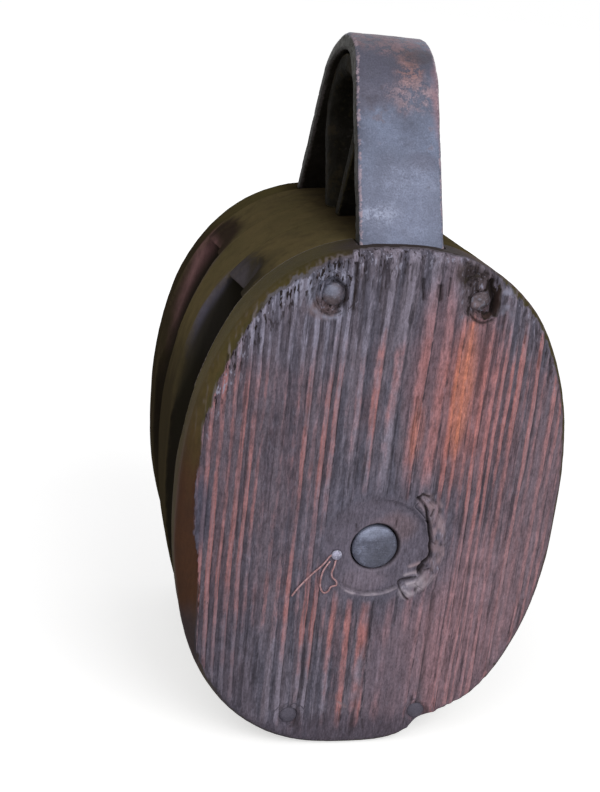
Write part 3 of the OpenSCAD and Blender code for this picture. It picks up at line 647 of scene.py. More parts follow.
strapLook = {
    "base": (104, 111, 132), "dark": (86, 90, 107), "light": (124, 130, 152),
    "rust": (124, 110, 118), "rustFrom": 0.68, "rustShare": 0.4, "cloud": 0.06,
    "mottle": 0.3, "edge": (162, 143, 152), "rub": 0.8, "rubFrom": 0.62,
    "dirt": (50, 46, 44), "dirtAmount": 0.25, "metal": 0.4, "rough": 0.5, "bump": 0.6,
    # the first colour here is painted shade for the faces inside the arch and sideways
    "inwardShade": (20, 16, 9), "specular": 0.25, "speckLow": 0.8, "speckHigh": 1.2, "scratch": 0.0,
    "spots": [
        ((-7, -30, 268), (20, 40, 15), (78, 75, 88), 0.8, 1.2, 0.4),
        ((5, -40, 268), (5, 40, 8), (150, 114, 110), 0.75, 1.3, 0.5, True),
        ((7, -45, 258.5), (10, 40, 5.5), (150, 128, 134), 0.75, 1.3, 0.5, True),
        ((16.5, -42, 260), (3.4, 40, 14), (142, 106, 112), 0.55, 1, 0.5),
        ((0, -10, 276.5), (20, 16, 5), (140, 112, 116), 0.6, 1.2, 0.4, True),
        ((-13, -40, 256), (7, 30, 5), (86, 84, 98), 0.7, 1.5, 0.4),
        ((10, -34, 272), (9, 30, 3.6), (72, 66, 73), 0.75, 1.4, 0.4),
        ((9, -50, 236), (6.5, 20, 3.4), (86, 87, 103), 0.75, 1.2, 0.4),
        # painted highlights low on the strap: a lighter patch and bright flecks
        ((2, -52, 222), (18, 20, 16), (122, 127, 148), 0.45, 1, 0.7),
        ((4, -52, 230), (13, 20, 5), (142, 148, 170), 0.4, 1.5, 0.6, True),
        ((-9, -52, 218), (9, 20, 3.2), (168, 174, 196), 0.5, 2, 0.7, True)],
}
# Thimble: iron painted near black, as shade inside the strap's arch
shadedIronLook = dict(
    strapLook, base=(20, 18, 12), dark=(14, 12, 8), light=(32, 28, 18),
    rust=(38, 31, 20), rustFrom=0.6, edge=(44, 39, 26), spots=[], metal=0.0,
    rough=0.6, dirtAmount=0.3, inwardShade=None, specular=0.03)
pinLook = dict(
    strapLook, base=(110, 113, 131), dark=(94, 96, 112), light=(136, 141, 163),
    rust=(108, 96, 100), edge=(140, 144, 162), mottle=0.8, rub=0.35, cloud=0.3,
    scratch=0.8, inwardShade=None, spots=[
        # painted highlight along the pin end's upper edge, and painted shade at its lower right
        ((-1, -68, 97.6), (7, 6, 3), (146, 152, 174), 0.8, 0.9, 0.5),
        ((6, -68, 86), (7, 6, 7), (84, 85, 98), 0.6, 0.8, 0.6)])
rivetLook = dict(
    pinLook, base=(103, 100, 112), dark=(84, 78, 87), light=(124, 123, 140),
    rust=(104, 86, 86), rustFrom=0.58, scratch=0.0, spots=[
        ((29.2, -66, 190.8), (7, 9, 7), (92, 80, 84), 0.8, 1, 0.4),
        # painted highlights: a pinkish one on the upper right head, a bluish one on the upper left head
        ((27.6, -66, 189.6), (1.6, 9, 1.2), (150, 132, 138), 0.6, 1.2, 0.6),
        ((-26.4, -66, 192.4), (2.6, 9, 2.2), (128, 134, 154), 0.5, 1, 0.6),
        ((-26.6, -66, 187.4), (5, 9, 2.6), (104, 90, 92), 0.6, 1, 0.4),
        ((2, -66, 13.8), (60, 9, 9), (92, 88, 101), 0.9, 0.4, 0.4)])
bronzeLook = dict(
    shadedIronLook, base=(128, 102, 62), dark=(84, 68, 42), light=(160, 132, 86),
    rust=(70, 78, 58), edge=(190, 160, 108), metal=0.85, rough=0.4, cloud=0.15,
    specular=0.5)
tackLook = dict(
    strapLook, base=(172, 170, 192), dark=(138, 136, 156), light=(202, 202, 220),
    rust=(140, 126, 132), edge=(200, 200, 216), spots=[], mottle=0.8, cloud=0.5,
    rough=0.42, dirtAmount=0.1, inwardShade=None)
coverTackLook = dict(tackLook, base=(112, 104, 100), dark=(74, 68, 64),
                     light=(140, 132, 128), rustFrom=0.5, rustShare=0.7)
wireLook = dict(
    tackLook, base=(186, 148, 152), dark=(150, 112, 114), light=(214, 184, 190),
    rust=(134, 102, 98), edge=(212, 180, 178), metal=0.2)

strapIron = ironMaterial("strapIron", strapLook)
shadedIron = ironMaterial("thimbleIronShaded", shadedIronLook)
pinIron = ironMaterial("pinIron", pinLook)
rivetIron = ironMaterial("rivetIron", rivetLook)
coakBronze = ironMaterial("coakBronze", bronzeLook)
tackMetal = ironMaterial("tackMetal", tackLook)
coverTackMetal = ironMaterial("coverTackMetal", coverTackLook)
wireCopper = ironMaterial("wireCopper", wireLook)


# Leather of the rear pin cover: pebbled, cracked and rubbed at its edge
def leatherMaterial(look):
    material, tree, shader, place = newMaterial("coverLeather")
    wear, hollow = attribute(tree, "wear"), attribute(tree, "hollow")
    spread = millimetres(place)
    pebble = put(tree, "ShaderNodeTexVoronoi", {"Vector": spread, "Scale": look["pebble"]},
                 feature="DISTANCE_TO_EDGE").outputs[0]
    folds = put(tree, "ShaderNodeTexVoronoi", {"Vector": spread, "Scale": look["crack"]},
                feature="DISTANCE_TO_EDGE").outputs[0]
    cloud = noise(spread, 0.12, 4.0, 0.6)
    colour = mix(remap(cloud, 0.35, 0.65), look["dark"], look["base"])
    crease = remap(folds, 0.0, 0.05, 1.0, 0.0)
    colour = mix(times(crease, 0.7), colour, look["dirt"])
    colour = mix(times(remap(wear, 0.1, 0.6), 0.6), colour, look["worn"])
    colour = mix(times(hollow, 0.6), colour, look["dirt"])
    feed(shader.inputs["Base Color"], colour)
    feed(shader.inputs["Roughness"], remap(cloud, 0.3, 0.7, 0.5, 0.72, False))
    height = timesPlus(crease, -0.8, remap(pebble, 0.0, 0.25))
    addBump(shader, 0.5, 0.0003, height)
    return material


leatherLook = {"pebble": 1.4, "crack": 0.16, "base": (78, 60, 52), "dark": (54, 42, 38),
               "dirt": (28, 23, 21), "worn": (116, 94, 80)}
coverLeather = leatherMaterial(leatherLook)
print("metal and leather finishes made")


# Mesh helpers. Points are handled in millimetres and written back in metres.
def pointsOf(mesh):
    flat = np.empty(len(mesh.vertices) * 3, np.float32)
    mesh.vertices.foreach_get("co", flat)
    return flat.reshape(-1, 3).astype(float) * 1000


def normalsOf(mesh):
    flat = np.empty(len(mesh.vertices) * 3, np.float32)
    mesh.vertex_normals.foreach_get("vector", flat)
    return flat.reshape(-1, 3).astype(float)


def surfaceOf(piece):
    return pointsOf(piece.data), normalsOf(piece.data)


def newPiece(name, mesh):
    piece = bpy.data.objects.new(name, mesh)
    bpy.context.scene.collection.objects.link(piece)
    return piece


# The two ends of every edge, and how many edges meet at each point
def edgesOf(mesh):
    pairs = np.empty(len(mesh.edges) * 2, np.int32)
    mesh.edges.foreach_get("vertices", pairs)
    a, b = pairs.reshape(-1, 2).T
    size = len(mesh.vertices)
    return a, b, np.maximum(np.bincount(a, minlength=size) + np.bincount(b, minlength=size), 1)


# The mean, over the edges at each point, of values given for first and second ends
def meanOver(edges, atFirst, atSecond):
    a, b, count = edges
    total = np.bincount(a, weights=atFirst, minlength=len(count))
    return (total + np.bincount(b, weights=atSecond, minlength=len(count))) / count


def setPoints(mesh, points):
    mesh.vertices.foreach_set("co", (points / 1000).astype(np.float32).ravel())
    mesh.update()


def setValue(mesh, name, values):
    layer = mesh.attributes.get(name) or mesh.attributes.new(name, "FLOAT", "POINT")
    layer.data.foreach_set("value", np.asarray(values, np.float32))


def softNoise(points, size, seed):
    count = 24
    grid = np.random.default_rng(seed).uniform(-1, 1, (count, count, count))
    q = points / np.asarray(size, float)
    base = np.floor(q).astype(int)
    t = q - base
    t = t * t * (3 - 2 * t)
    total = np.zeros(len(points))
    for i, j, k in np.ndindex(2, 2, 2):
        weight = (t[:, 0] if i else 1 - t[:, 0]) * (t[:, 1] if j else 1 - t[:, 1])
        weight *= t[:, 2] if k else 1 - t[:, 2]
        at = (base + (i, j, k)) % count
        total += weight * grid[at[:, 0], at[:, 1], at[:, 2]]
    return total


def smoothStep(value, low, high):
    t = np.clip((value - low) / (high - low), 0, 1)
    return t * t * (3 - 2 * t)


def baked(piece):
    graph = bpy.context.evaluated_depsgraph_get()
    mesh = bpy.data.meshes.new_from_object(piece.evaluated_get(graph), depsgraph=graph)
    piece.modifiers.clear()
    piece.data = mesh


# Makes a mesh finer where the mask is true
def refined(piece, mask):
    shape = bmesh.new()
    shape.from_mesh(piece.data)
    edges = [e for e in shape.edges if mask[e.verts[0].index] and mask[e.verts[1].index]]
    bmesh.ops.subdivide_edges(shape, edges=edges, cuts=1, use_grid_fill=True)
    shape.to_mesh(piece.data)
    shape.free()
    piece.data.update()


# A copy of a solid with even, dense faces, smoothed a little
def denseCopy(node, name, voxel, smooth):
    mesh = nodes[node].data.copy()
    shape = bmesh.new()
    shape.from_mesh(mesh)
    bmesh.ops.remove_doubles(shape, verts=shape.verts, dist=1e-6)
    shape.to_mesh(mesh)
    shape.free()
    mesh.materials.clear()
    piece = newPiece(name, mesh)
    remesh = piece.modifiers.new("remesh", "REMESH")
    remesh.mode = "VOXEL"
    remesh.voxel_size = voxel / 1000
    remesh.use_smooth_shade = True
    relax = piece.modifiers.new("relax", "SMOOTH")
    relax.factor, relax.iterations = 0.5, smooth
    baked(piece)
    return piece


# Thins the smooth part of a mesh that the mask picks, down to the share kept
def thinned(piece, mask, kept):
    sides = [(len(p.vertices) - 2, all(mask[i] for i in p.vertices)) for p in piece.data.polygons]
    inside = sum(n for n, picked in sides if picked)
    group = piece.vertex_groups.new(name="thin")
    group.add([int(i) for i in np.nonzero(mask)[0]], 1.0, "REPLACE")
    less = piece.modifiers.new("thin", "DECIMATE")
    less.ratio = 1 - (1 - kept) * inside / sum(n for n, picked in sides)
    less.vertex_group, less.vertex_group_factor = "thin", 10.0
    baked(piece)
    piece.vertex_groups.clear()


# Joins the small faces of a hidden flat into a few large ones
def joined(piece, mask):
    shape = bmesh.new()
    shape.from_mesh(piece.data)
    picked = [v for v in shape.verts if mask[v.index]]
    edges = [e for e in shape.edges if mask[e.verts[0].index] and mask[e.verts[1].index]]
    bmesh.ops.dissolve_limit(shape, angle_limit=0.06, verts=picked, edges=edges)
    bmesh.ops.triangulate(shape, faces=[f for f in shape.faces if len(f.verts) > 4])
    shape.to_mesh(piece.data)
    shape.free()
    piece.data.update()


# Runs a geometry tree on a piece, with its inputs set by name
def grown(piece, tree, values):
    modifier = piece.modifiers.new("make", "NODES")
    modifier.node_group = tree
    for item in tree.interface.items_tree:
        if item.item_type == "SOCKET" and item.in_out == "INPUT" and item.name in values:
            modifier[item.identifier] = values[item.name]
    piece.update_tag()
    baked(piece)


# Curvature and direction of the surface, which the finishes read for wear and dirt
def markSurface(piece, passes=2, reach=0.16, outer=None):
    mesh = piece.data
    points, normals = surfaceOf(piece)
    edges = edgesOf(mesh)
    a, b, _ = edges

    def around(values):
        return meanOver(edges, values[b], values[a])

    middle = np.stack([around(points[:, i]) for i in range(3)], 1)
    length = np.linalg.norm(points[a] - points[b], axis=1)
    step = meanOver(edges, length, length)
    bend = np.einsum("ij,ij->i", points - middle, normals) / np.maximum(step, 1e-6)
    facing = normals[:, 1].copy()
    for _ in range(passes):
        bend = (bend + around(bend)) / 2
    for _ in range(passes + 2):
        facing = (facing + around(facing)) / 2
    setValue(mesh, "wear", np.clip(bend / reach, 0, 1))
    setValue(mesh, "hollow", np.clip(-bend / reach, 0, 1))
    facing = np.abs(facing) if outer is None else np.clip(facing * outer, 0, 1)
    setValue(mesh, "facing", facing)
    return facing


def finishPiece(piece, body, replaced, material):
    mesh = piece.data
    mesh.materials.clear()
    mesh.materials.append(material)
    mesh.polygons.foreach_set("material_index", np.zeros(len(mesh.polygons), np.int32))
    mesh.polygons.foreach_set("use_smooth", np.ones(len(mesh.polygons), bool))
    mesh.update()
    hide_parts(*replaced)
    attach(piece, body)
    print(" ", piece.name, len(mesh.polygons), "faces")


# 0 in the middle of the shell's oval and 1 on its outline
ovalPlan = {"halfWidth": 76, "halfHeight": 105.25, "middle": 104, "power": 2.36}


def shellShare(points):
    power = ovalPlan["power"]
    return (np.abs(points[:, 0]) / ovalPlan["halfWidth"]) ** power + (
        np.abs(points[:, 2] - ovalPlan["middle"]) / ovalPlan["halfHeight"]) ** power


# Smooths a mesh where the mask is near 1
def eased(piece, mask, passes):
    points = pointsOf(piece.data)
    edges = edgesOf(piece.data)
    a, b, _ = edges
    for _ in range(passes):
        middle = np.stack([meanOver(edges, points[b, i], points[a, i]) for i in range(3)], 1)
        points += (middle - points) * (0.7 * mask)[:, None]
    setPoints(piece.data, points)


# Draws crown arrises out to the outline, so that neighbouring pieces meet without a groove
def flush(piece):
    points, normals = surfaceOf(piece)
    middle = (0, 0, ovalPlan["middle"])
    out = points * (1, 0, 1) - middle
    away = np.einsum("ij,ij->i", out, normals) / np.maximum(np.linalg.norm(out, axis=1), 1e-6)
    share = shellShare(points)
    near = (share > 0.965) & (share < 1) & (points[:, 2] > 150) & (away > 0.25) & (
        np.abs(points[:, 1]) < 54)
    scale = np.where(near, np.maximum(share, 0.5) ** (-1 / ovalPlan["power"]), 1.0)[:, None]
    points = out * scale + points * (0, 1, 0) + middle
    setPoints(piece.data, points)


# A smooth line through the given places
def bent(line, steps=6):
    p = np.array([line[0]] + list(line) + [line[-1]], float)
    found = []
    for i in range(1, len(p) - 2):
        for t in np.linspace(0, 1, steps, endpoint=False):
            found.append(0.5 * (2 * p[i] + (p[i + 1] - p[i - 1]) * t
                                + (2 * p[i - 1] - 5 * p[i] + 4 * p[i + 1] - p[i + 2]) * t ** 2
                                + (3 * p[i] - p[i - 1] - 3 * p[i + 1] + p[i + 2]) * t ** 3))
    return found + [p[-2]]


# Distance of points in the face plane from a bent line
def awayFrom(line, x, z):
    best = np.full(len(x), 1e9)
    for (x0, z0), (x1, z1) in zip(line[:-1], line[1:]):
        dx, dz = x1 - x0, z1 - z0
        t = np.clip(((x - x0) * dx + (z - z0) * dz) / (dx * dx + dz * dz), 0, 1)
        best = np.minimum(best, np.hypot(x - x0 - t * dx, z - z0 - t * dz))
    return best


# 1 inside a soft box round a place in the face plane and 0 well outside it
def softBox(x, z, place, reach, power=4):
    return np.exp(-((x - place[0]) / reach[0]) ** power - ((z - place[1]) / reach[1]) ** power)


# Front cheek. Places on its face are measured from the shell's middle and the pin's height.
cheekPlan = {
    "voxel": 0.7, "face": -68.5, "pinX": 2.0, "pinZ": 90.5, "rivetX": 27.2,
    "rivetZ": (100.35, -76.7), "ridgeDepth": 0.75, "fibreDepth": 0.45, "dentDepth": 1.0,
    # where the worn band along the left rim begins, as shares of the oval at some heights
    "bandZ": (40, 62, 75, 88, 101, 128, 140, 173, 184, 195),
    "bandShare": (1.0, 0.83, 0.785, 0.78, 0.83, 0.85, 0.886, 0.912, 0.95, 0.95),
    "cracks": [  # x, z, x, z, width, depth
        (-15.5, 113, -15.4, 97, 0.5, 1.0), (-12, 112, -12.1, 103, 0.45, 0.8),
        (-18.6, 112, -18.5, 96, 0.75, 1.6), (-22, 113, -22.2, 107, 0.4, 0.8),
        (-25, 114, -25.2, 106.5, 0.45, 0.9), (-28.5, 113, -28.4, 107, 0.4, 0.7),
        (4, 98, 3, 92, 0.7, 0.5), (9.1, 8.2, 9.6, 11.8, 0.4, 0.8),
        (-6.2, 7.2, -6.6, 10.2, 0.4, 0.7), (10.2, 63, 10.6, 34, 0.5, 0.6),
        (33.6, 92, 33.2, 64, 0.9, 0.5), (28.6, -20, 29.2, -76, 1.5, 0.6),
        (4.2, -24, 2.9, -55, 1.1, 0.5), (2.9, -55, 1.4, -86, 1.1, 0.5),
        (-31, 66, -31.3, 47, 0.4, 0.4), (38, -40, 39.4, -62, 0.5, 0.4),
        (24.5, 24.5, 25.4, 16.0, 0.5, 0.4), (-22, -79.4, -21, -81.5, 1.3, 1.2)],
    "notches": [  # x, z, x, z, width, depth
        (6.3, 107.8, 7.3, 100.5, 0.42, 1.3), (13.3, 105.7, 13.8, 100.5, 0.6, 1.5)],
    "lipCrack": [(15.9, 21.8), (18.4, 19.6), (20.4, 16.2), (21.6, 12.6), (22.6, 7.8), (23.9, 1.4),
                 (24.4, -2.0), (23.2, -5.6), (21.6, -8.6), (21.2, -10.8)],
    "lipFoot": [(19.8, -12.6), (16.7, -13.7), (13.8, -14.7), (13.3, -16.2), (14.3, -18.4),
                (16.0, -21.0), (17.9, -22.6)],
    "lipTop": [(15.9, 21.6), (17.6, 23.5), (20.4, 22.5)],
    "lipNotch": [(23.0, 17.1), (21.9, 14.7)],
    "lipCrest": [(19.4, 20.8), (22.6, 16.6), (25.2, 11.4), (26.6, 5.2), (27.0, -1.6),
                 (26.0, -8.0), (23.6, -13.4), (19.6, -17.0), (16.9, -19.0)],
    "splinters": [  # x, z, x, z, width, raise
        (17.4, -8.4, 21.0, -6.9, 0.75, 0.45), (15.6, -12.3, 20.0, -10.6, 0.65, 0.4),
        (16.4, -15.4, 20.2, -14.0, 0.7, 0.45), (15.8, -18.2, 18.2, -19.8, 0.8, 0.35),
        (29.2, 0.6, 29.6, -2.6, 0.7, 0.2),
        (24.8, 20.4, 26.0, 18.4, 0.8, 0.15), (17.8, 21.2, 18.8, 20.0, 0.9, 0.3)],
    "checks": 34, "seed": 8,
}


def frontCheek(plan):
    piece = denseCopy("front_cheek", "frontCheek", plan["voxel"], 2)
    points, normals = surfaceOf(piece)
    joined(piece, (points[:, 1] > -62) & (normals[:, 1] > 0.97) & (shellShare(points) < 0.9))
    points, normals = surfaceOf(piece)
    thinned(piece, (normals[:, 1] > -0.3) & (normals[:, 1] < 0.9) & (shellShare(points) > 0.9), 0.44)
    points = pointsOf(piece.data)
    x, z = points[:, 0], points[:, 2] - plan["pinZ"]
    lip = (np.abs(np.hypot(x - plan["pinX"], z) - 23) < 7.5) & (x > 11)
    wells = np.hypot(np.abs(x - plan["pinX"]) - plan["rivetX"], z - plan["rivetZ"][0]) < 9
    refined(piece, (points[:, 1] < -63.5) & (lip | wells))
    points, normals = surfaceOf(piece)
    x, z = points[:, 0], points[:, 2] - plan["pinZ"]
    r = np.hypot(x - plan["pinX"], z)
    depth = points[:, 1] - plan["face"]
    onFace = smoothStep(-normals[:, 1], 0.25, 0.8) * smoothStep(-depth, -6.0, -4.5)
    # the grain lies low round the pin, in a patch above and one below it, and towards the rims
    relief = onFace.copy()
    relief *= 1 - 0.92 * (1 - smoothStep(r, 21.0, 31.0))
    relief *= 1 - 0.9 * softBox(x, z, (17, -55), (11, 34))
    relief *= 1 - 0.75 * softBox(x, z, (23, 68), (14, 36))
    relief *= 1 - 0.2 * smoothStep(z + 0.25 * np.abs(x), 96, 112)
    relief *= 1 - smoothStep(shellShare(points), 0.84, 0.97) * (1 - smoothStep(z - 0.5 * x, 40, 80))
    relief *= smoothStep(z, -88, -66)
    relief = np.maximum(relief, 0.05)
    limit = np.interp(points[:, 2], plan["bandZ"], plan["bandShare"])
    relief *= 1 - 0.97 * smoothStep(shellShare(points), limit - 0.03, limit + 0.03) * (x < -20)
    setValue(piece.data, "relief", relief)
    grown(piece, raisedGrain,
          {**faceRings, "Ridge Depth": plan["ridgeDepth"], "Fibre Depth": plan["fibreDepth"],
           "Dent Depth": plan["dentDepth"], "Material": frontWood})
    points, normals = surfaceOf(piece)
    x, z = points[:, 0], points[:, 2] - plan["pinZ"]
    px = x - plan["pinX"]
    r, angle = np.hypot(px, z), np.degrees(np.arctan2(z, px))
    depth = points[:, 1] - plan["face"]
    front = smoothStep(-depth, -9.0, -7.0) * smoothStep(-normals[:, 1], -0.05, 0.3)
    # how far the face sinks in, and masks of cracks, pale wood and painted highlights, torn wood
    # and packed dirt
    sink, crack, pale, torn, level = (np.zeros(len(points)) for _ in range(5))

    def lumps(across, along, seed):
        return softNoise(points, (across, 50, along), seed)

    def cut(line, wide, deep, dark=1.0, wander=0.4, seed=9):
        d = awayFrom(line, x + wander * lumps(50, 3.5, seed), z)
        groove = np.exp(-(d / wide) ** 2)
        sink[:] += deep * groove
        crack[:] = np.maximum(crack, dark * np.exp(-(d / (wide * (0.95 + 0.3 * (deep > 1)))) ** 2))

    # the recess fades out towards the upper left, and its lower edge is worn inwards
    fade = smoothStep(np.cos(np.radians(angle - 160)), 0.0, 0.7)
    target = 1.3 * (1 - smoothStep(r, 14.0, 27.0))
    near = (r > 11.5) & (r < 28)
    sink += np.where(near, fade * (target - np.clip(depth, 0, 1.4)) * 0.9, 0)
    under = smoothStep(np.cos(np.radians(angle + 90)), 0.55, 0.85)
    sink -= under * smoothStep(r, 19.4, 20.2) * (r < 22.5) * np.clip(depth, 0, 1.3)

    # the lip: a low flat piece of wood between a deep crack and the face, its foot torn
    rag = lumps(2.6, 3.4, 3) * 0.6 + lumps(1.2, 1.7, 4) * 0.35
    d = awayFrom(bent(plan["lipCrest"]), x, z)
    crest = 1 - smoothStep(d + 0.4 * rag, 2.4, 4.8)
    flat = smoothStep(-depth, 0.2, 0.7) * ((r > 18) & (r < 34))
    sink += flat * 0.9 * (1 - 0.35 * crest)
    sink -= crest * (0.3 + 0.4 * rag)
    patchy = lumps(2.0, 2.6, 33)
    pale = np.maximum(pale, (1 - smoothStep(d, 1.6, 4.2)) * np.clip(0.5 + 0.9 * patchy, 0, 0.95))
    torn = np.maximum(torn, 0.6 * crest)
    cut(bent(plan["lipCrack"]), 0.5, 1.7, 1.0, 0.8, 12)
    cut([(22.6, -7.4), (21.4, -10.4)], 0.62, 1.3, 1.0, 0.4, 12)
    cut(bent(plan["lipFoot"]), 0.42, 0.9, 0.85, 0.5, 13)
    cut(plan["lipTop"], 0.55, 0.8, 0.95, 0.3, 15)
    cut(plan["lipNotch"], 0.5, 0.7, 0.75, 0.3, 15)
    for line in ([(29.6, 4.4), (30.0, 1.6)], [(24.2, 3.2), (25.6, 2.4)], [(20.6, 12.2), (22.4, 10.4)],
                 [(22.4, -9.2), (24.4, -8.2)]):
        cut(line, 0.42, 0.6, 0.6, 0.3, 16)
    # a thin raised thread along the recess's lower edge, with a painted highlight on it
    d = awayFrom(bent([(-10.4, -16.8), (-6.4, -18.9), (-1.2, -20.1), (4.6, -20.0), (9.2, -18.9),
                       (12.4, -17.3)]), x, z)
    rim = np.exp(-((d + 0.3 * rag) / 0.42) ** 2)
    sink -= 0.2 * rim
    pale = np.maximum(pale, rim * np.clip(0.4 + 0.5 * patchy + 0.7 * lumps(1.3, 1.0, 37), 0, 0.95))
    for x0, z0, x1, z1, wide, lift in plan["splinters"]:
        ridge = np.exp(-(awayFrom([(x0, z0), (x1, z1)], x + 0.5 * rag, z) / wide) ** 2)
        sink -= lift * ridge
        pale = np.maximum(pale, ridge * np.clip(0.85 + 0.4 * patchy, 0, 1))
        crack *= 1 - 0.8 * ridge

    # the gap round the pin is widest at its upper right and closed below
    gap = 0.25 + 0.75 * smoothStep(np.cos(np.radians(angle - 25)), -0.35, 0.7)
    ring = np.exp(-((r - 9.6) / (0.35 + 0.45 * gap)) ** 2)
    crack = np.maximum(crack, ring * gap)
    sink += 0.7 * ring * gap * (r > 9.2)

    # cracks, notches and the shallow dent between the notches
    for x0, z0, x1, z1, wide, deep in plan["cracks"]:
        cut([(x0, z0), (x1, z1)], wide, deep, min(1.0, 0.25 + 0.6 * deep) if wide < 1 else 0.45)
    for x0, z0, x1, z1, wide, deep in plan["notches"]:
        cut([(x0, z0), (x1, z1)], wide, deep)
    sink += 0.7 * softBox(x, z, (10.0, 106), (3.2, 5.5))

    # wells: gaps beside the heads, pits torn along the grain above the upper ones
    wellX = [plan["pinX"] - plan["rivetX"], plan["pinX"] + plan["rivetX"]]
    top, foot = plan["rivetZ"]
    d = awayFrom([(wellX[1], top), (wellX[1] - 6.8, top + 12)], x, z)
    sink += 1.5 * (1 - smoothStep(d, 2.6, 5.4)) * smoothStep(z, top - 1, top + 4)
    # dirt and torn wood narrow the left well to the right and fill the other one's left side
    for middle, near, far, side in (((-27.0, 100.3), 5.4, 6.6, 0.0),
                                    ((wellX[1] + 1.4, top - 0.4), 2.4, 6.4, 1.0)):
        rr = np.hypot(x - middle[0], z - middle[1])
        fill = 3.4 * (1 - smoothStep(rr + 0.5 * lumps(1.8, 2.2, 24), near, far))
        well = np.hypot(x - wellX[int(side)], z - top)
        full = (well < 9) & (depth > fill) & (depth < 4.6)
        clear = smoothStep(x - wellX[1], 1.0, 3.4) * smoothStep(z - top, -7.5, -5.0) * side
        sink[full] = ((fill - depth) * (1 - clear))[full]
        front[full] = 1
        level = np.maximum(level, (rr > near - 0.6) * (1 - smoothStep(well, 8.6, 10.2)) * (1 - clear))
    for atX, wide, tall, deep, dark in ((wellX[0], 7.8, 10.5, 1.1, 0.3), (wellX[1], 7.0, 9.0, 1.4, 0.5)):
        area = softBox(x, z - top, (atX, 3), (wide, tall), 6)
        rr = np.hypot(x - atX, z - top)
        clear = smoothStep(rr, 4.6, 6.0)
        sink += area * clear * deep * (lumps(1.1, 8.0, 14) + 0.6 * lumps(1.3, 2.0, 16) + 0.2)
        torn = np.maximum(torn, area)
        crack = np.maximum(crack, dark * area * np.clip(0.8 + 0.8 * lumps(1.2, 5.0, 17), 0, 1.5))
    rr = np.hypot(x + 26.6, z - 100.3)
    turn = np.arctan2(z - 100.3, x + 26.6)
    around = np.exp(-((rr - 5.5) / 0.85) ** 2) * smoothStep(np.cos(turn - 0.1), -0.1, 0.5)
    around = np.maximum(around, 0.7 * np.exp(-((rr - 6.6) / 0.45) ** 2)
                        * smoothStep(np.cos(turn + 1.9), 0.2, 0.8))
    crack = np.maximum(crack, 0.95 * around)
    sink += 0.9 * around
    # painted highlight on the lower left of the left well's outer rim
    edge = np.exp(-((rr - 7.9) / 0.8) ** 2) * smoothStep(np.cos(turn + 2.1), -0.1, 0.6)
    pale = np.maximum(pale, 0.9 * edge * np.clip(0.5 + 0.5 * patchy + 0.9 * lumps(1.2, 1.2, 38), 0, 1))
    cut(bent([(32.6, 108.2), (33.8, 104.6), (35.4, 100.6), (35.2, 96.2)]), 0.85, 1.4, 1.0, 0.5, 26)
    cut(bent([(26.2, 95.6), (28.4, 93.5), (31.4, 92.6), (34.8, 93.9)]), 0.65, 0.9, 0.95, 0.5, 27)
    cut([(24.6, 98.6), (25.0, 95.8)], 0.7, 0.9, 0.9, 0.4, 28)
    flecks = softBox(x, z, (39.2, 99.6), (2.6, 7.5))
    pale = np.maximum(pale, flecks * np.clip(1.6 * patchy - 0.2, 0, 0.8))
    # the lower wells are packed with dirt, so that only the tops of the heads show
    for atX in wellX:
        rr = np.hypot(x - atX, z - foot)
        fill = 1.68 * (1 - smoothStep(rr, 2.0, 8.6)) + 0.12 * lumps(2.0, 2.4, 18)
        packed = (rr < 9.0) & (depth > fill) & (depth < 4.2)
        sink[packed] = (fill - depth)[packed]
        front[packed] = 1
        level = np.maximum(level, 1 - smoothStep(rr, 8.6, 10.2))
        # painted shade in a crescent on the right side of each packed well
        crack = np.maximum(crack, 0.6 * np.exp(-((rr - 4.6) / 0.9) ** 2)
                           * smoothStep(np.cos(np.arctan2(z - foot, x - atX) + 0.3), 0.1, 0.9))

    # drying checks near the rims and ends of the grain, and torn fibres along the upper left rim
    rng = np.random.default_rng(plan["seed"])
    power, halfWidth = ovalPlan["power"], ovalPlan["halfWidth"]
    for _ in range(plan["checks"]):
        side = rng.uniform(-64, 62)
        upper = rng.random() < 0.75
        edge = 104.0 * (1 - (abs(side) / halfWidth) ** power) ** (1 / power)
        start = 13.5 + (edge - rng.uniform(2, 12) if upper else -edge + rng.uniform(3, 14))
        long = rng.uniform(3, 12)
        line = [(side, start), (side + rng.uniform(-0.5, 0.5), start - long if upper else start + long)]
        cut(line, 0.42, rng.uniform(0.35, 0.8), 0.7)
    share = shellShare(points)
    upperLeft = smoothStep(z - 0.9 * x, 95, 125) * smoothStep(share, 0.66, 0.86)
    torn = np.maximum(torn, upperLeft)
    torn = np.maximum(torn, 0.6 * smoothStep(share, 0.8, 0.95) * smoothStep(z, 40, 80))
    sink += upperLeft * 0.35 * softNoise(points, (1.1, 4.0, 5.0), 31)

    # the broken corner at the lower right, torn along the grain, its steps rounded
    chip = smoothStep(x, 17, 24) * (1 - smoothStep(z, -64, -56)) * (depth > 0.8)
    tear = 0.8 * softNoise(points, (1.3, 5.0, 8.0), 21) + 0.5 * softNoise(points, (4.0, 6.0, 9.0), 22)
    points[:, 2] += chip * tear * smoothStep(-normals[:, 2], 0.2, 0.6)

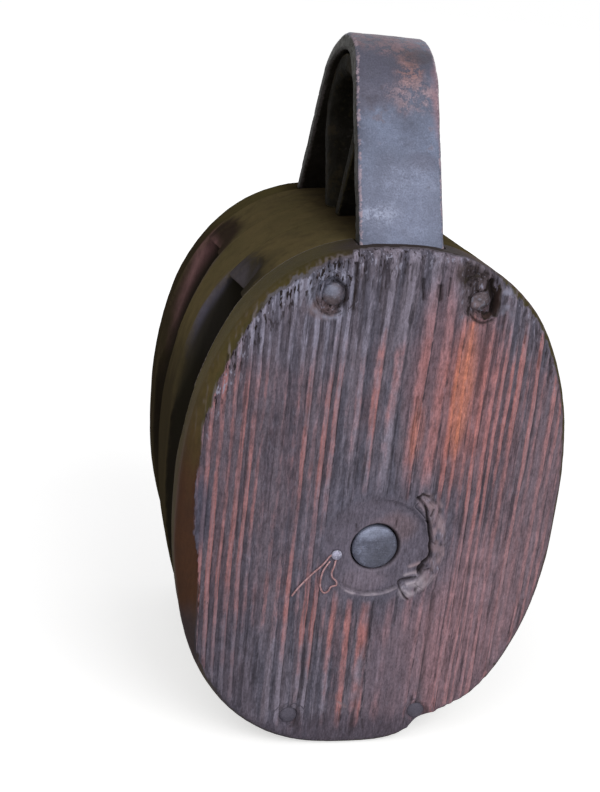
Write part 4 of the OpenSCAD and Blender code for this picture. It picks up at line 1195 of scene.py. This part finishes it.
    # white nick low on the face
    nick = np.exp(-(awayFrom([(-5.2, -69.8), (-1.8, -72.4)], x, z) / 0.5) ** 2)
    sink += 0.5 * nick
    pale = np.maximum(pale, nick)
    points[:, 1] += sink * front
    setPoints(piece.data, points)
    for name, values in (("crack", crack), ("pale", pale), ("torn", torn)):
        setValue(piece.data, name, np.clip(values, 0, 1) * front)
    eased(piece, softBox(x, z, (25, -82), (12, 10)), 6)
    level *= smoothStep(-depth, -4.7, -4.5)
    eased(piece, level, 10)
    flush(piece)
    facing = markSurface(piece, outer=-1)
    points = pointsOf(piece.data)
    upper = smoothStep(points[:, 2] - 0.4 * points[:, 0], 175, 205)
    facing = np.clip(facing + 0.3 * upper * (facing > 0.25), 0, 1)
    share = shellShare(points)
    limit = np.interp(points[:, 2], plan["bandZ"], plan["bandShare"])
    limit += 0.012 * lumps(1.2, 7.0, 41) + 0.012 * lumps(1, 2, 42)
    band = smoothStep(share, limit - 0.05, limit + 0.06) * (points[:, 0] < -20)
    ahead = smoothStep(-points[:, 1], 62.5, 63.5)
    flat = np.maximum(1 - smoothStep(share, 0.62, 0.7), level) * ahead
    facing = np.maximum(facing, flat)
    setValue(piece.data, "facing", facing * (1 - 0.8 * band * (limit < 0.99)))
    for name in ("hollow", "wear"):
        values = np.empty(len(points), np.float32)
        piece.data.attributes[name].data.foreach_get("value", values)
        setValue(piece.data, name, values * (1 - 0.85 * level))
    # painted shade on the faces that look back into the slot
    setValue(piece.data, "deep", smoothStep(normalsOf(piece.data)[:, 1], 0.3, 0.7)
             * (1 - smoothStep(share, 0.84, 0.93)))
    finishPiece(piece, "shell", ["front_cheek"], frontWood)


frontCheek(cheekPlan)
print("front cheek made")


# The other wooden pieces: dense copies with raised grain, with painted shade inside the slots
# deep: the shares of the oval over which the painted slot shade fades out
chockPlan = {"material": scoopWood, "slot": "edge_wood", "rings": scoopLook["rings"], "ridge": 0.4,
             "dents": 1.0, "deep": (0.7, 0.84)}
crownPlan = dict(chockPlan, voxel=0.7, fibre=0.5, rim=0.08)
footPlan = dict(chockPlan, voxel=0.9, fibre=0.3, rim=0.1)
sheavePlan = {"voxel": 0.9, "material": sheaveWood, "slot": "sheave_wood",
              "rings": sheaveLook["rings"], "ridge": 0.2, "fibre": 0.15, "dents": 0.4, "rim": 0.6}
woodPlans = [
    {"node": "rear_cheek", "name": "rearCheek", "voxel": 0.85, "material": rearWood,
     "slot": "rear_wood", "rings": rearWoodLook["rings"], "ridge": 0.7, "fibre": 0.4,
     "dents": 1.0, "rim": 0.06, "outer": 1, "deep": (0.79, 0.93)},
    {"node": "centre_partition", "name": "centrePartition", "voxel": 0.95, "material": edgeWood,
     "slot": "edge_wood", "rings": edgeWoodLook["rings"], "ridge": 0.3, "fibre": 0.3,
     "dents": 1.0, "rim": 0.08, "deep": (0.9, 0.985)},
    dict(crownPlan, node="front_top_chock", name="frontTopChock"),
    dict(crownPlan, node="rear_top_chock", name="rearTopChock"),
    dict(footPlan, node="front_bottom_chock", name="frontBottomChock"),
    dict(footPlan, node="rear_bottom_chock", name="rearBottomChock"),
    dict(sheavePlan, node="front_sheave", name="frontSheave", body="front_sheave_body"),
    dict(sheavePlan, node="rear_sheave", name="rearSheave", body="rear_sheave_body"),
]


def woodenPiece(plan):
    piece = denseCopy(plan["node"], plan["name"], plan["voxel"], 1 if "deep" in plan else 2)
    normals = normalsOf(piece.data)
    outer = plan.get("outer")
    facing = normals[:, 1] * outer if outer else np.abs(normals[:, 1])
    flat = smoothStep(facing, 0.4, 0.9)
    setValue(piece.data, "relief", flat + (1 - flat) * plan["rim"])
    grown(piece, raisedGrain, {
        **plan["rings"], "Ridge Depth": plan["ridge"], "Fibre Depth": plan["fibre"],
        "Dent Depth": plan["dents"], "Material": plan["material"]})
    if "deep" in plan:
        flush(piece)
        normals = normalsOf(piece.data)
        # painted shade on the walls that look into the slots, fading out towards the outline
        wall = smoothStep(-outer * normals[:, 1] if outer else np.abs(normals[:, 1]), 0.3, 0.7)
        if "Chock" in plan["name"]:
            wall = np.ones(len(normals))
        share = shellShare(pointsOf(piece.data))
        setValue(piece.data, "deep", wall * (1 - smoothStep(share, *plan["deep"])))
    markSurface(piece, outer=outer)
    finishPiece(piece, plan.get("body", "shell"), [plan["node"]], plan["material"])


for plan in woodPlans:
    woodenPiece(plan)
print("other wood made")


# Iron strap, thimble and pin
ironPlans = [
    {"node": "iron_strap", "name": "ironStrap", "voxel": 0.8, "material": strapIron,
     "slot": "strap_iron", "drawnIn": {"from": 262, "to": 277, "left": 0.09, "right": 0.01},
     "values": {"Hammer Size": 15.0, "Hammer Depth": 0.9, "Pit Size": 2.6, "Pit Depth": 0.22,
                "Seed": 1.0}},
    {"node": "thimble", "name": "ropeThimble", "voxel": 0.6, "material": shadedIron,
     "slot": "thimble_iron",
     "values": {"Hammer Size": 9.0, "Hammer Depth": 0.7, "Pit Size": 2.2, "Pit Depth": 0.25,
                "Seed": 2.0}},
    {"node": "sheave_pin", "name": "sheavePin", "voxel": 0.5, "material": pinIron,
     "slot": "pin_iron", "axis": (2.0, 0.0, 90.5), "shaft": 9.08,
     "values": {"Hammer Size": 6.0, "Hammer Depth": 0.35, "Pit Size": 1.8, "Pit Depth": 0.12,
                "Seed": 3.0}},
]
archMiddle = 244.6  # height of the middle of the strap's arch


def ironPiece(plan):
    piece = denseCopy(plan["node"], plan["name"], plan["voxel"], 3)
    points = pointsOf(piece.data)
    if "drawnIn" in plan:  # a little narrower over the top, as the bend left it
        bend = plan["drawnIn"]
        share = smoothStep(points[:, 2], bend["from"], bend["to"]) * np.where(
            points[:, 0] < 0, bend["left"], bend["right"])
        points[:, 0] *= 1 - share
        setPoints(piece.data, points)
    grown(piece, forgedSkin, dict(plan["values"], Material=plan["material"]))
    if "shaft" in plan:  # kept within its bores
        points = pointsOf(piece.data)
        axis = np.array(plan["axis"])
        reach = np.hypot(*(points - axis)[:, [0, 2]].T)
        share = np.minimum(1, plan["shaft"] / np.maximum(reach, 1e-6))[:, None]
        points[:, [0, 2]] = (axis + (points - axis) * share)[:, [0, 2]]
        setPoints(piece.data, points)
    markSurface(piece, 2, 0.12)
    points, normals = surfaceOf(piece)
    # how far each face looks out, away from the arch; the strap paints shade on the rest
    away = points * (0, 1, 0) + np.maximum(points - (0, 0, archMiddle), 0) * (0, 0, 1)
    away /= np.maximum(np.linalg.norm(away, axis=1), 1e-6)[:, None]
    setValue(piece.data, "outward", smoothStep(np.einsum("ij,ij->i", away, normals), 0.3, 0.6))
    finishPiece(piece, "shell", [plan["node"]], plan["material"])


for plan in ironPlans:
    ironPiece(plan)
print("ironwork made")


# Fastenings: shell rivets, roves and tacks
def onPoints(name, places, tree, values, replaced, material, battered=()):
    mesh = bpy.data.meshes.new(name)
    mesh.from_pydata([tuple(c / 1000 for c in p) for p in places], [], [])
    piece = newPiece(name, mesh)
    grown(piece, tree, dict(values, Material=material))
    for x, z, reach, by in battered:
        points = pointsOf(piece.data)
        near = (np.hypot(points[:, 0] - x, points[:, 2] - z) < reach) & (points[:, 1] < -65)
        lump = softNoise(points, (2.4, 50, 1.9), 51) + 0.5 * softNoise(points, (1.1, 50, 0.9), 52)
        points[:, 1] += np.where(near, by * lump, 0)
        setPoints(piece.data, points)
    markSurface(piece, 1, 0.1)
    finishPiece(piece, "shell", replaced, material)


rivetPlan = {"middle": 2.0, "x": 27.2, "zs": (190.85, 13.8), "floor": 65.1, "rove": 1.4,
             "roveMiddle": 0.72}
rivetSpots = [(rivetPlan["middle"] + x, z) for z in rivetPlan["zs"]
              for x in (-rivetPlan["x"], rivetPlan["x"])]
onPoints("shellRivets",
         [(x, -rivetPlan["floor"], z) for x, z in rivetSpots]
         + [(x, rivetPlan["floor"] + rivetPlan["rove"], z) for x, z in rivetSpots],
         domedHeads, {"Head Radius": 4.4, "Head Height": 1.8, "Shank Radius": 3.1,
                      "Shank Length": 62.0, "Dent": 0.7, "Seed": 4.0},
         ["shell_rivets"], rivetIron,
         battered=((29.2, 190.85, 5.0, 0.6), (-25.2, 190.85, 5.0, 0.25)))
onPoints("rivetRoves",
         [(x, rivetPlan["floor"] + rivetPlan["roveMiddle"], z) for x, z in rivetSpots],
         flatRoves, {"Outer Radius": 6.3, "Hole Radius": 3.0, "Thickness": 1.4, "Dent": 0.35},
         ["rivet_roves"], rivetIron)
tackPlan = {"at": 15.5, "angle": 190.0, "pinX": 2.0, "pinZ": 90.5, "floor": 67.1, "cover": 2.2,
            "lift": 0.9}
tackSpots = []
for k in range(4):
    turn = math.radians(tackPlan["angle"] + 90 * k)
    tackSpots.append((tackPlan["pinX"] + tackPlan["at"] * math.cos(turn),
                      tackPlan["pinZ"] + tackPlan["at"] * math.sin(turn)))
frontTackX, frontTackZ = tackSpots[0]
tackValues = {"Head Radius": 2.1, "Head Height": 1.2, "Shank Radius": 0.65, "Shank Length": 5.5,
              "Dent": 0.25, "Seed": 9.0}
onPoints("frontTack", [(frontTackX, -tackPlan["floor"] - tackPlan["lift"], frontTackZ)], domedHeads,
         tackValues, ["front_tack"], tackMetal)
onPoints("rearCoverTacks", [(x, tackPlan["floor"] + tackPlan["cover"], z) for x, z in tackSpots],
         domedHeads, tackValues, ["rear_cover_tacks"], coverTackMetal)

# Scrap of wire: a smooth tube along its route, thinner towards its two ends
wirePlan = {"radius": 0.37, "floor": -67.55, "recess": 1.4, "route": [
    (-16.3, -17.2, 1), (-13.9, -13.4, 1), (-9.5, -8, 1), (-6, -4.4, 1), (-4.3, -2.6, 0.7),
    (-2.9, -1.2, 0.1), (-1.15, 0.5, 0), (0, 1.25, 0), (1.2, 0.4, 0), (0.8, -1.2, 0),
    (-0.1, -2.7, 0.1), (-0.5, -4.4, 0.6), (-1.4, -7, 1), (-1, -9.2, 1), (0.7, -10.9, 1),
    (0.9, -12.7, 1), (-1.1, -13.4, 1), (-2, -15.3, 1), (-3.7, -16, 1), (-5.1, -14.1, 1),
    (-5.6, -10.8, 1), (-5, -6.6, 1), (-3.6, -4, 0.8), (-2.4, -2.6, 0.4)]}


def wireTree():
    tree, given, out = geometryGroup("bentWire", {"Radius": 0.3})
    line = put(tree, "GeometryNodeMeshToCurve", {"Mesh": given["Geometry"]})
    soft = put(tree, "GeometryNodeCurveSplineType", {"Curve": line.outputs[0]},
               spline_type="CATMULL_ROM")
    fine = put(tree, "GeometryNodeResampleCurve", {"Curve": soft.outputs[0], "Count": 220})
    part = tree.nodes.new("GeometryNodeSplineParameter").outputs[0]
    taper = times(remap(part, 0.0, 0.12, 0.6, 1.0), remap(part, 0.93, 1.0, 1.0, 0.6))
    ring = put(tree, "GeometryNodeCurvePrimitiveCircle",
               {"Resolution": 10, "Radius": times(given["Radius"], 0.001)})
    sized = put(tree, "GeometryNodeSetCurveRadius", {"Curve": fine.outputs[0], "Radius": taper})
    tube = put(tree, "GeometryNodeCurveToMesh",
               {"Curve": sized.outputs[0], "Profile Curve": ring.outputs[0], "Fill Caps": True})
    return skinned(realized(tube.outputs[0]), given, out)


def tackWire(plan):
    places = [((frontTackX + across) / 1000, (plan["floor"] - plan["recess"] * level) / 1000,
               (frontTackZ + up) / 1000) for across, up, level in plan["route"]]
    mesh = bpy.data.meshes.new("tackWire")
    mesh.from_pydata(places, [(i, i + 1) for i in range(len(places) - 1)], [])
    piece = newPiece("tackWire", mesh)
    grown(piece, wireTree(), {"Radius": plan["radius"], "Material": wireCopper})
    finishPiece(piece, "shell", ["tack_wire"], wireCopper)


tackWire(wirePlan)
print("fastenings made")

for name in ("front_sheave", "rear_sheave"):
    for part in ("_coak", "_coak_plate", "_rivets"):
        nodes[name + part].material_slots[0].material = coakBronze
nodes["rear_pin_cover"].material_slots[0].material = coverLeather

# Floor, light and camera
stagePlan = {"floorSize": 40.0, "floorTone": 0.8, "lift": 0.52, "farLift": 0.66,
             "farFrom": 0.25, "farTo": 1.0, "worldShare": 0.45,
             "keyPower": 18.0, "keySize": 1.4, "keyFrom": (0.7, -1.45, 1.35),
             "fillPower": 9.0, "fillFrom": (-1.1, -1.05, 1.3)}


def buildStage(plan):
    size = plan["floorSize"]
    mesh = bpy.data.meshes.new("floor")
    corners = [(x * size, y * size, -0.0006) for x, y in ((-1, -1), (1, -1), (1, 1), (-1, 1))]
    mesh.from_pydata(corners, [], [(0, 1, 2, 3)])
    floor = newPiece("floor", mesh)
    material, tree, shader, place = newMaterial("paleFloor")
    shader.inputs["Base Color"].default_value = (plan["floorTone"],) * 3 + (1.0,)
    shader.inputs["Roughness"].default_value = 0.9
    shader.inputs["Specular IOR Level"].default_value = 0.0
    shader.inputs["Emission Color"].default_value = (1, 1, 1, 1)
    seen = tree.nodes.new("ShaderNodeLightPath").outputs
    away = remap(vecCalc("LENGTH", place), plan["farFrom"], plan["farTo"], plan["lift"],
                 plan["farLift"])
    feed(shader.inputs["Emission Strength"], times(seen["Is Camera Ray"], away))
    mesh.materials.append(material)
    world = bpy.data.worlds.new("softRoom")
    bpy.context.scene.world = world
    world.use_nodes = True
    tree = world.node_tree
    seen = tree.nodes.new("ShaderNodeLightPath").outputs
    shown = calc("MAXIMUM", seen["Is Camera Ray"], seen["Is Glossy Ray"])
    shown = calc("MAXIMUM", shown, seen["Is Transmission Ray"])
    strength = timesPlus(shown, 1.0 - plan["worldShare"], plan["worldShare"])
    tree.nodes["Background"].inputs[0].default_value = (1, 1, 1, 1)
    feed(tree.nodes["Background"].inputs[1], strength)
    for name, power, place in (("key", plan["keyPower"], plan["keyFrom"]),
                               ("fill", plan["fillPower"], plan["fillFrom"])):
        light = bpy.data.lights.new(name, "AREA")
        light.energy, light.size = power, plan["keySize"]
        lamp = bpy.data.objects.new(name, light)
        lamp.location = place
        lamp.rotation_euler = (Vector((0, 0, 0.12)) - Vector(place)).to_track_quat("-Z", "Y").to_euler()
        bpy.context.scene.collection.objects.link(lamp)


cameraPlan = {"azimuth": -13.31, "elevation": 19.59, "roll": 5.96, "distance": 0.48492,
              "target": (-0.01827, 0.0, 0.12796), "lens": 51.43}


def buildCamera(plan):
    a, e, r = (math.radians(plan[k]) for k in ("azimuth", "elevation", "roll"))
    back = Vector((math.sin(a) * math.cos(e), -math.cos(a) * math.cos(e), math.sin(e)))
    across = Vector((0, 0, 1)).cross(back).normalized()
    over = back.cross(across)
    right = across * math.cos(r) + over * math.sin(r)
    up = -across * math.sin(r) + over * math.cos(r)
    data = bpy.data.cameras.new("camera")
    data.sensor_fit, data.sensor_height, data.lens = "VERTICAL", 36.0, plan["lens"]
    data.clip_start, data.clip_end = 0.01, 200.0
    camera = bpy.data.objects.new("camera", data)
    turn = Matrix((right, up, back)).transposed().to_4x4()
    camera.matrix_world = Matrix.Translation(Vector(plan["target"]) + back * plan["distance"]) @ turn
    bpy.context.scene.collection.objects.link(camera)
    bpy.context.scene.camera = camera


buildStage(stagePlan)
buildCamera(cameraPlan)
bpy.context.scene.view_settings.view_transform = "Standard"
print("stage and camera set")
